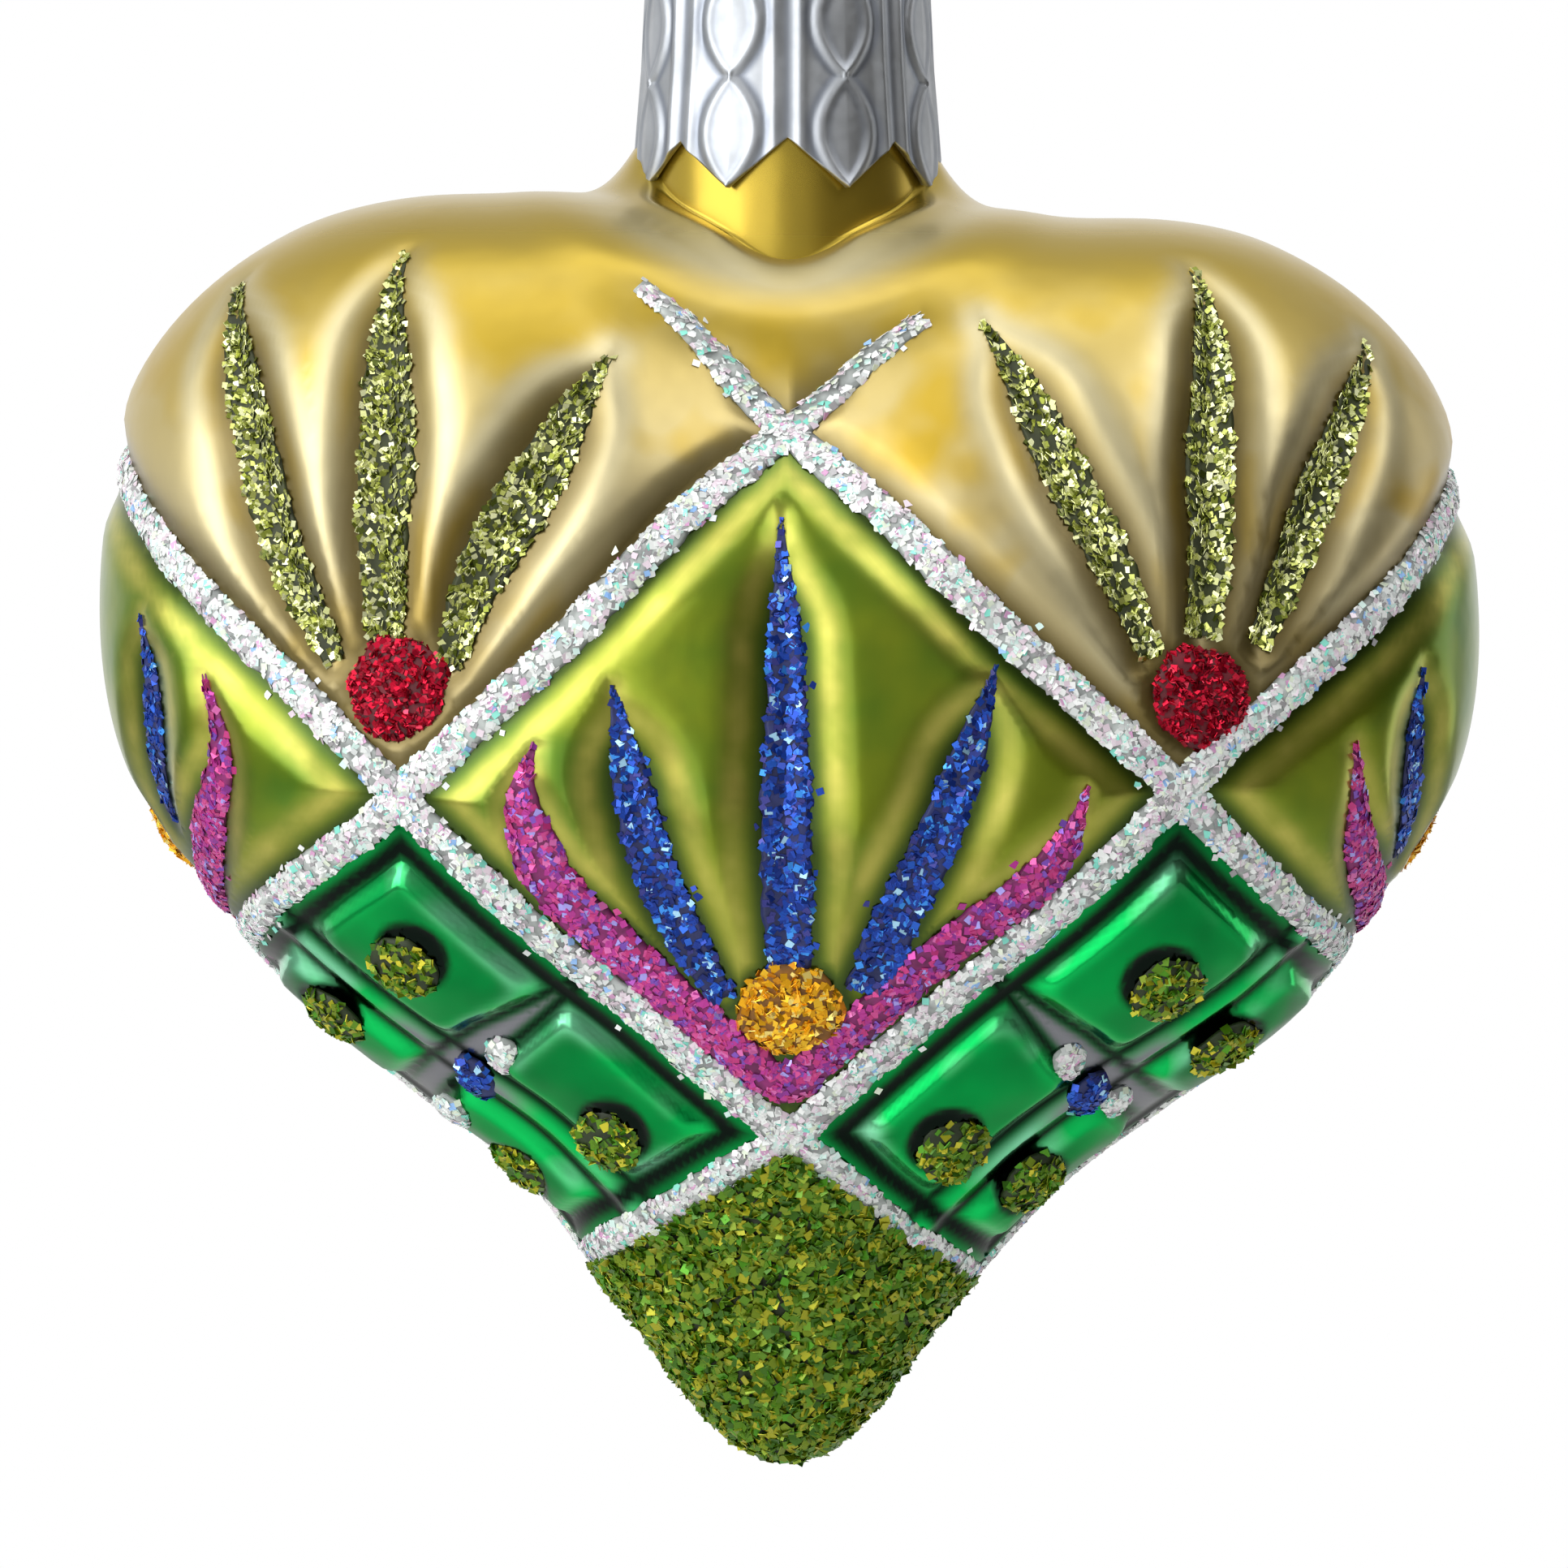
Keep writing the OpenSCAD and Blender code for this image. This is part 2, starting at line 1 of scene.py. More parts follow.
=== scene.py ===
from functools import partial
import bmesh
import bpy
import numpy as np
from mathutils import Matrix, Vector


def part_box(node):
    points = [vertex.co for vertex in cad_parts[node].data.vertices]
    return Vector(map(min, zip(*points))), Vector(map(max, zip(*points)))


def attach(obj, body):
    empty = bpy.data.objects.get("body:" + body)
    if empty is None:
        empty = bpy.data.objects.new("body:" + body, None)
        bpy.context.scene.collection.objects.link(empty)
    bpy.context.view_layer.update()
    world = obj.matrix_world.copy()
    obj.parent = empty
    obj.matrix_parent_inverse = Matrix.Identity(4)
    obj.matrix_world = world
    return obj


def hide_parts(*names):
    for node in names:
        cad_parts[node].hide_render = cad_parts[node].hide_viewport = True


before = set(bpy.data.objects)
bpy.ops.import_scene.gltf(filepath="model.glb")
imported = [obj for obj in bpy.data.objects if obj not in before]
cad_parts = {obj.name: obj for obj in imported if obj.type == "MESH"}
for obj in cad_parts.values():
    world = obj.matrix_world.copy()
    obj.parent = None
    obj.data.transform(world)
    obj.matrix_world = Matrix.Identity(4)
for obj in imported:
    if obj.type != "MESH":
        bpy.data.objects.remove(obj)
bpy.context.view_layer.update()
print("frame loaded")

mm = 0.001
scene = bpy.context.scene
rng = np.random.default_rng(14)
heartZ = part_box("glass_heart")[0].z / mm + 40.5  # height of the heart's own centre in the row frame


# A hex code in sRGB as a linear colour
def linear(code):
    c = np.array([int(code[i:i + 2], 16) for i in (1, 3, 5)]) / 255
    return (*np.where(c <= 0.04045, c / 12.92, ((c + 0.055) / 1.055) ** 2.4).tolist(), 1.0)


# A node with its settings (ramp stops, sockets, properties) and its links, from sockets or from a node's first output
def addNode(tree, kind, settings={}, links={}):
    node = tree.nodes.new("ShaderNode" + kind)
    for key, value in settings.items():
        if isinstance(value, str) and value.startswith("#"):
            value = linear(value)
        if key == "stops":
            ramp = node.color_ramp.elements
            ramp.remove(ramp[1])
            ramp[0].position = value[0][0]
            for stop in value[1:]:
                ramp.new(stop[0])
            for element, stop in zip(ramp, value):
                element.color = linear(stop[1])
        elif isinstance(key, int) or key in node.inputs:
            node.inputs[key].default_value = value
        else:
            setattr(node, key, value)
    for key, source in links.items():
        tree.links.new(source.outputs[0] if isinstance(source, bpy.types.Node) else source, node.inputs[key])
    return node


# A material, addNode for its tree, its Object coordinates and the attributes it reads
def newMaterial(name, *attributes):
    material = bpy.data.materials.new(name)
    material.use_nodes = True
    material.node_tree.nodes.clear()
    add = partial(addNode, material.node_tree)
    numbers = [add("Attribute", {"attribute_name": key}).outputs["Fac"] for key in attributes]
    return material, add, add("TexCoord").outputs["Object"], *numbers


def surface(add, settings, links):
    add("OutputMaterial", {}, {"Surface": add("BsdfPrincipled", settings, links)})


def addObject(name, data):
    piece = bpy.data.objects.new(name, data)
    scene.collection.objects.link(piece)
    return piece


# faceSets holds arrays of triangles or quads; slots and smooth give one entry for each, numbers one for each point
def buildPiece(name, verts, faceSets, materials, slots=None, smooth=None, numbers={}):
    perFace = lambda values: np.concatenate([np.broadcast_to(v, len(f)) for f, v in zip(faceSets, values)])
    sizes = perFace([f.shape[1] for f in faceSets])
    mesh = bpy.data.meshes.new(name)
    mesh.vertices.add(len(verts))
    mesh.vertices.foreach_set("co", (verts * mm).astype(np.float32).ravel())
    mesh.loops.add(int(sizes.sum()))
    mesh.loops.foreach_set("vertex_index", np.concatenate([f.ravel() for f in faceSets]).astype(np.int32))
    mesh.polygons.add(len(sizes))
    mesh.polygons.foreach_set("loop_start", (np.cumsum(sizes) - sizes).astype(np.int32))
    mesh.update(calc_edges=True)
    mesh.polygons.foreach_set("material_index", perFace(slots or [0] * len(faceSets)).astype(np.int32))
    mesh.polygons.foreach_set("use_smooth", perFace(smooth or [True] * len(faceSets)))
    for key, values in numbers.items():
        mesh.attributes.new(key, "FLOAT", "POINT").data.foreach_set("value", values.astype(np.float32))
    for material in materials:
        mesh.materials.append(material)
    mesh.validate()
    return addObject(name, mesh)


def settle(piece, body, slot, *nodes):
    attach(piece, body)
    if nodes:
        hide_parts(*nodes)


# Quads of a grid of rows by cols points, the columns closed into a ring
def ringQuads(rows, cols):
    i, j = np.meshgrid(np.arange(rows - 1), np.arange(cols), indexing="ij")
    a, b = i * cols + j, i * cols + (j + 1) % cols
    return np.stack([a, b, b + cols, a + cols], axis=-1).reshape(-1, 4)


# Each quad cut in two along the diagonal over which f changes least, so that slanting edges stay clean
def splitQuads(quads, f):
    a, b, c, d = quads.T
    acrossAC = (np.abs(f[a] - f[c]) <= np.abs(f[b] - f[d]))[:, None]
    return np.vstack([np.where(acrossAC, np.stack([a, b, c], 1), np.stack([a, b, d], 1)),
                      np.where(acrossAC, np.stack([a, c, d], 1), np.stack([b, c, d], 1))])


# Six times the volume inside a set of faces: below zero when they point inwards
def facing(verts, faces):
    v = verts - verts.mean(0)
    return sum(np.einsum("ij,ij->i", v[faces[:, 0]], np.cross(v[faces[:, k]], v[faces[:, k + 1]])).sum()
               for k in range(1, faces.shape[1] - 1))


def outward(verts, faces):
    return faces[:, ::-1] if facing(verts, faces) < 0 else faces


def unit(v):
    return v / np.maximum(np.linalg.norm(v, axis=-1, keepdims=True), 1e-9)


# Smooth step from 0 to 1
def ease(t):
    c = np.clip(t, 0, 1)
    return c * c * (3 - 2 * c)


# Bell curve: 1 in the middle, falling off over its width
def bell(x, middle, width):
    return np.exp(-((x - middle) / width) ** 2)


# Cubic from b to c that passes smoothly on to its neighbours a and d
def through(a, b, c, d, t):
    return b + t * ((c - a) / 2 + t * (a - 2.5 * b + 2 * c - 0.5 * d + t * (-0.5 * a + 1.5 * b - 1.5 * c + 0.5 * d)))


def fullTurn(count):
    return np.linspace(0, 2 * np.pi, count, endpoint=False)


def ringPoints(radius, turn, z):
    return np.stack([radius * np.cos(turn), radius * np.sin(turn), z + 0 * turn], axis=-1)


def spun(line, turn):
    radius, z = np.array(line, float).T[:, :, None]
    return ringPoints(radius, turn, z)


# Direction by turn about the upright and tilt from straight down
def aim(turn, tilt):
    return ringPoints(np.sin(tilt), turn, -np.cos(tilt))


# The smooth heart: outline radius every 15 degrees from tip to dip, depth a rounded oval, thinner under the neck and at the tip
# Then its rows, the relief of its fields, the roll under the neck, the neck, and the painted shade, painted highlights
# and bare silver as pairs of place and width
heart = {
    "right": [40.5, 33.5, 29.6, 29.6, 32, 34.5, 37.5, 39, 40, 37.5, 32.5, 29.5, 28.5],
    "left": [40.5, 33.6, 28.8, 28.7, 30.5, 33.5, 37, 39, 40.5, 38.5, 34, 30, 28.5],
    "half": 21, "full": 2.4, "dip": 0.2, "dipWidth": 9, "dipFrom": 6, "dipRun": 18,
    "taper": 0.55, "taperFrom": 4, "taperRun": 36,
    "turns": 480, "rowShare": [0.002, 0.1, 0.62, 1], "rowsTo": [0, 8, 126, 178], "shoulder": 12,
    "low": -0.5, "tipFade": 1.5, "fadeRun": 9, "fadeBelow": 21, "fadeFall": 8,
    "gold": {"rise": 0.9, "bevel": 3.4, "arch": 0.6, "step": 0.4, "stepRun": 1.8},
    "lime": {"rise": 0.68, "bevel": 3.4, "arch": 0.35, "step": 0.65, "stepRun": 2.8},
    "pane": {"rise": 0.7, "bevel": 1.1, "dome": 0.4, "domeRun": 4, "sill": 1.4, "soft": 0.35,
             "bar": 0.4, "barHalf": 1.2, "barWide": 0.65, "barPlace": 0.56,
             "crossFrom": 0.1, "crossGrow": 0.12, "crossReach": 8, "crossRun": 0.8,
             "well": 0.2, "wellRun": 0.5, "wellGrow": 0.15, "wellIn": 0.5, "wellUp": 0.65, "lip": 0.2, "lipAt": (0.3, 0.6)},
    "roll": {"rise": 2.3, "z": 20.8, "bend": 0.045, "tall": 2.6, "wide": 9.5, "above": 2, "crest": (0.9, 0.5)},
    "neck": {"collar": 8, "root": 31, "bore": 6.1, "rows": 14, "sharp": 8, "lead": 1.3, "brow": 0.3, "browOut": 3,
             "browClimb": -0.3, "flare": 1.6, "flareLift": 0.5, "climb": 3.4},
    "paint": {"goldGroove": 1.2, "limeGroove": 0.7, "limeRidge": (1.4, 0.7), "streak": 0.9, "streakAt": (1.8, 0.9),
              "barShade": (1.05, 0.4), "crossShade": (0, 0.45), "bevelShine": (0.6, 0.5), "barShine": (0, 0.5),
              "bareBar": (0, 0.6)},
}


def outline(x, z):
    u = (np.degrees(np.arctan2(z, np.abs(x))) + 90) / 15
    i = np.clip(np.floor(u).astype(int), 0, 11)
    near = [np.where(np.abs(i + k) > 12, 24 - np.abs(i + k), np.abs(i + k)) for k in (-1, 0, 1, 2)]
    sides = [through(*(np.array(heart[s], float)[n] for n in near), u - i) for s in ("left", "right")]
    return np.where(x < 0, *sides)


def swell(x, z):
    valley = heart["dip"] * bell(x, 0, heart["dipWidth"]) * ease((z - heart["dipFrom"]) / heart["dipRun"])
    return (1 - valley) * (1 - heart["taper"] * ease((-z - heart["taperFrom"]) / heart["taperRun"]))


# Where the ray from the centre along d leaves the heart grown by off
def onRay(d, off=0.0):
    x, y, z = np.moveaxis(d, -1, 0)
    share = (np.hypot(x, z) / (outline(x, z) + off)) ** heart["full"]
    share = share + (np.abs(y) / (heart["half"] + off)) ** heart["full"]
    q = d * (share ** (-1 / heart["full"]))[..., None]
    q[..., 1] *= swell(q[..., 0], q[..., 2])
    return q


def project(q):
    d = np.array(q, float)
    d[..., 1] /= swell(d[..., 0], d[..., 2])
    return onRay(d)


# A stop is x and z on the front, or three coordinates anywhere
def stopPoint(stop):
    if len(stop) == 3:
        return project(np.array(stop, float))
    x, z = np.array(stop, float)
    s = np.minimum(1, np.hypot(x, z) / outline(x, z))
    return np.array([x, -heart["half"] * swell(x, z) * (1 - s ** heart["full"]) ** (1 / heart["full"]), z])


def fullness(p):
    x, y, z = np.moveaxis(p, -1, 0)
    flat, deep = np.hypot(x, z) / outline(x, z), np.abs(y) / (heart["half"] * swell(x, z))
    return flat ** heart["full"] + deep ** heart["full"]


# Outward direction: the slope of fullness, over 0.05 mm to either side
def outDir(q):
    return unit(np.stack([fullness(q + e) - fullness(q - e) for e in np.eye(3) * 0.05], axis=-1))


# Largest tilt, for each turn, at which the skin passes a test that holds below it; found by halving
def lastTilt(turn, low, high, steps, test, off=0.0):
    low, high = np.full(len(turn), low), np.full(len(turn), high)
    for _ in range(steps):
        middle = (low + high) / 2
        passed = test(onRay(aim(turn, middle), off))
        low, high = np.where(passed, middle, low), np.where(passed, high, middle)
    return low


def toRow(q):
    return q + np.array([0, 0, heartZ])


# Smooth curve through evenly spaced values
def curve(values, t):
    j = np.minimum(t.astype(int), len(values) - 2)
    near = [values[np.clip(j + n, 0, len(values) - 1)] for n in (-1, 0, 1, 2)]
    return through(*near, (t - j).reshape(-1, *[1] * (values.ndim - 1)))


# Path of a stroke: a smooth curve through its stops, laid on the heart, points 0.4 mm apart
def layPath(look, widths, stops):
    k, w = np.array([stopPoint(s) for s in stops]), np.array(widths, float)
    q = project(curve(k, np.linspace(0, len(k) - 1, 400)))
    length = np.concatenate([[0], np.cumsum(np.linalg.norm(np.diff(q, axis=0), axis=1))])
    even = np.linspace(0, length[-1], int(length[-1] / 0.4) + 2)
    path = project(np.stack([np.interp(even, length, q[:, i]) for i in range(3)], axis=1))
    share = even / length[-1]
    half = np.maximum(0.1, curve(w, share * (len(w) - 1)) / 2)
    # the groove runs out at a pointed end
    tips = (w[-1] < 1) * ease((share - 0.7) / 0.3) + (w[0] < 1) * ease((0.3 - share) / 0.3)
    return {**look, "path": path, "length": length[-1], "half": half, "groove": half - heart["tipFade"] * tips}


# Glitter strokes: look, widths in mm at even places along the stroke, stops on the glass
# A look has the kind of glitter, the height of the bead, the depth of a V groove under it and the lean of its flakes
lattice = {"tall": 0.28, "vee": 0.0, "kind": "white"}
fan = {"tall": 0.14, "vee": 0.4, "lean": 0.9, "kind": "goldGreen"}
blue = {"tall": 0.2, "vee": 0.3, "kind": "blue"}
sideBlue = {"tall": 0.2, "vee": 0.25, "kind": "blue"}
pink = {"tall": 0.3, "vee": 0.0, "kind": "pink"}
longLine, shortLine = [2, 1.9, 1.9, 1.9, 1.9, 1.8, 1.8], [0.9, 1.7, 1.9, 1.9, 1.9, 1.8, 1.8]
sideRay, sideVee = [1.2, 1.8, 1.6, 0.3], [0.4, 2.2, 2.6, 2.4, 2.6, 2.2, 0.4]
latticeStrokes = [layPath(lattice, *stroke) for stroke in [
    (longLine, [
        [-38, -0.5, 15.4], [-36.2, 13.2], [-28.5, 4.2], [-20.7, -3.7], [-10.5, -13.3], [0, -22],
        [4.6, -25.9], [9.2, -29.4], [10.8, -1, -30.6]]),
    (longLine, [
        [38, -0.5, 14.2], [36.2, 11.8], [29, 3.8], [20.9, -3.4], [10.2, -13.3], [0, -22],
        [-4.9, -25], [-9.8, -27.9], [-11.4, -1, -29.4]]),
    (shortLine, [
        [-8.2, 23.1], [0, 15.9], [10.1, 6.5], [20.9, -3.4], [25.8, -8.1], [29.4, -11.2], [31.2, -0.8, -12.6]]),
    (shortLine, [
        [7.4, 21.4], [0, 15.9], [-10.4, 6.1], [-20.7, -3.7], [-25.7, -7.6], [-29.4, -10.6], [-30.8, -0.8, -12]]),
    ([1.8, 1.8, 1.8], [
        [-30.6, -1, -12.2], [-25, -1.1, -17.6], [-19, -1.1, -23], [-14, -1.1, -27.4], [-11, -1.6, -29.5]]),
    ([2, 2.4, 2.2], [
        [31, -1, -12.8], [26, -1.2, -18], [20, -1.2, -23.4], [14.5, -1.2, -28], [10.8, -1.4, -30.7]]),
]]
faceStrokes = {
    "left_ray_1": (fan, [1.4, 2.4, 2.5, 2, 0.6], [[-24.2, 3.7], [-27.1, 9.7], [-29, 16.6], [-29.6, 24.2]]),
    "left_ray_2": (fan, [2, 2.9, 3.1, 2, 0.4], [[-21.4, 4.7], [-21.6, 9.7], [-21.4, 16.4], [-20.5, 25.5]]),
    "left_ray_3": (fan, [1.5, 2.7, 3.2, 2.2, 0.4], [[-18.1, 3.3], [-15.9, 9], [-12.9, 14], [-9.4, 19.8]]),
    "right_ray_1": (fan, [1.3, 2.2, 2.5, 1.9, 0.4], [[19.3, 3.9], [17, 9.4], [14.2, 14.7], [10.4, 21.6]]),
    "right_ray_2": (fan, [1.9, 2.5, 2.6, 1.9, 0.4], [[22.1, 5], [22.6, 9.4], [22.6, 15.1], [21.7, 24.7]]),
    "right_ray_3": (fan, [1.4, 2.2, 2.4, 1.8, 0.5], [[25.2, 4.6], [27, 8.7], [28.9, 13.6], [31.2, 20.9]]),
    "blue_ray_left": (blue, [1.5, 2.3, 2.3, 1.9, 0.3], [[-3.5, -14.5], [-5.9, -10.4], [-7.5, -6.2], [-9.2, 2.2]]),
    "blue_ray_centre": (blue, [2.5, 2.8, 2.3, 1.6, 0.2], [[0.1, -12.9], [-0.1, -6.2], [-0.1, 2.9], [-0.4, 11.4]]),
    "blue_ray_right": (blue, [2.4, 2.6, 2.3, 1.8, 0.2], [[4.2, -14.1], [6, -9.9], [8.7, -3.9], [11, 3.4]]),
    "pink_vee": (pink, [0.3, 2.6, 2.8, 2.7, 2.5, 2.4, 2.3, 2.3, 2.3, 2.2, 0.3], [
        [-13.4, -0.9], [-14, -3.9], [-12.6, -8.1], [-9.1, -11.8], [-5.5, -15], [-2.3, -17.8], [0, -19.2],
        [2.3, -17.3], [5.6, -14.5], [9.2, -11.3], [12.4, -9], [14.7, -6.2], [15.8, -3.2]]),
}
sideStrokes = {
    "left_pink_vee": (pink, sideVee, [
        [-31.3, 3], [-30.6, -2], [-31.2, -6.5, -7.6], [-31.6, 0, -9.3], [-31.2, 6.5, -7.6], [-30.6, 13.1, -2], [-31.3, 13.7, 3]]),
    "left_blue_ray_front": (sideBlue, sideRay, [[-33.9, -6.3, -4.8], [-34.7, 0.6], [-35, 6.1]]),
    "left_blue_ray_seam": (sideBlue, sideRay, [[-35.5, 0, -2], [-37, 0, 3], [-38, 0, 10]]),
    "left_blue_ray_back": (sideBlue, sideRay, [[-33.9, 6.3, -4.8], [-34.7, 9.5, 0.6], [-35, 10, 6.1]]),
    "right_pink_vee": (pink, sideVee, [
        [30.4, -0.9], [31, -6], [31.4, -5.5, -9.2], [31.8, 0, -10], [31.4, 5.5, -9.2], [31, 11.5, -6], [30.4, 14.1, -0.9]]),
    "right_blue_ray_front": (sideBlue, sideRay, [[34, -6, -7], [34.2, -1.9], [34.3, 3.3]]),
    "right_blue_ray_seam": (sideBlue, sideRay, [[36, 0, -2], [37.5, 0, 3], [38.2, 0, 9]]),
    "right_blue_ray_back": (sideBlue, sideRay, [[34, 6, -7], [34.2, 9.9, -1.9], [34.3, 11.2, 3.3]]),
}
# Dots: kind, radius, height, stretch upwards, stops
faceDots = {
    "left_red_dot": ("red", 2.7, 0.55, 1, [[-20.8, 2.2]]),
    "right_red_dot": ("red", 2.7, 0.55, 1, [[22, 1.7]]),
    "gold_dot": ("gold", 2.7, 0.75, 1, [[0.1, -15.1]]),
    "left_window_dots": ("olive", 2, 0.6, 1, [[-20.4, -12.5], [-9.7, -22], [-25, -7, -15.6], [-15, -4.6, -24.4]]),
    "right_window_dots": ("olive", 2.1, 0.6, 1, [[20.2, -13.7], [8.9, -22.5], [23.8, -7.5, -17.2], [13.6, -6.4, -25]]),
    "left_flower": ("blue", 1.15, 0.5, 1.4, [[-17, -19]]),
    "right_flower": ("blue", 1.15, 0.5, 1.4, [[16.4, -19.9]]),
    "left_petals": ("white", 1.05, 0.5, 1.2, [[-15.4, -17.8], [-18.1, -20.5]]),
    "right_petals": ("white", 1.05, 0.5, 1.2, [[15.2, -18.2], [17.9, -20.6]]),
}
sideDots = {
    "left_gold_dot": ("gold", 2.4, 0.6, 1, [[-33.5, 0, -5.5]]),
    "right_gold_dot": ("gold", 2.4, 0.6, 1, [[34.2, 0, -5.8]]),
}


tables = (faceStrokes, sideStrokes)
faceStrokes, sideStrokes = ({name: layPath(*stroke) for name, stroke in table.items()} for table in tables)
tables, keys = (faceDots, sideDots), ("kind", "radius", "tall", "stretch", "stops")
faceDots, sideDots = ({name: dict(zip(keys, dot)) for name, dot in table.items()} for table in tables)
# Marks: place, half width and groove depth of every point that the relief keeps clear of
marks = [np.column_stack([s["path"], s["groove"], np.full(len(s["half"]), s["vee"])])
         for s in [*latticeStrokes, *faceStrokes.values(), *sideStrokes.values()]]
marks += [np.array([[*stopPoint(dot["stops"][0]), dot["radius"], 0.0]])
          for dot in [*faceDots.values(), *sideDots.values()] if dot["kind"] in ("red", "gold")]
marks = np.vstack(marks)
fanMarks = np.vstack([np.column_stack([s["path"], s["groove"], 0 * s["half"]])
                      for s in faceStrokes.values() if s["kind"] == "goldGreen"])
print("strokes laid", len(marks), "marks")


# Least distance to a set of marks, each less its own half width, and the groove depth of the nearest
def clearOf(points, marks):
    away, vee = np.empty(len(points)), np.empty(len(points))
    for s in range(0, len(points), 2000):
        p = points[s:s + 2000]
        square = (p ** 2).sum(1)[:, None] + (marks[:, :3] ** 2).sum(1) - 2 * p @ marks[:, :3].T
        gap = np.sqrt(np.maximum(square, 0)) - marks[:, 3]
        k = gap.argmin(1)
        away[s:s + 2000], vee[s:s + 2000] = gap[np.arange(len(k)), k], marks[k, 4]
    return away, vee


# Lines that part the fields, cut at the knots where strokes cross; a panel has its inner, lower, side and outer line
knotLeft, knotRight = -20.7, 20.9
falling, rising, toRight, toLeft, seamLeft, seamRight = [s["path"] for s in latticeStrokes]
cut = lambda path, low, high: path[(path[:, 0] > low) & (path[:, 0] < high)]
sortX = lambda *paths: (lambda p: p[np.argsort(p[:, 0])])(np.vstack(paths))
upperLine = sortX(cut(falling, -99, knotLeft), cut(toLeft, knotLeft, 0), cut(toRight, 0, knotRight), cut(rising, knotRight, 99))
lowerLine = sortX(cut(toLeft, -99, knotLeft), cut(falling, knotLeft, 0), cut(rising, 0, knotRight), cut(toRight, knotRight, 99))
panels = {-1: [cut(falling, knotLeft, 0.5), cut(rising, -99, 0.5), cut(toLeft, -99, knotLeft), seamLeft],
          1: [cut(rising, -0.5, knotRight), cut(falling, -0.5, 99), cut(toRight, knotRight, 99), seamRight]}


def coatEdge(x):
    return -22.9 - np.abs(x) * np.where(x < 0, 0.62, 0.72)


# Pillow between grooves: a quarter sine over the bevel and a smooth step
def pillow(out, shape):
    arch = shape["arch"] * np.sin(np.pi / 2 * np.clip(out / shape["bevel"], 0, 1))
    return shape["rise"] * (arch + shape["step"] * ease(out / shape["stepRun"]))


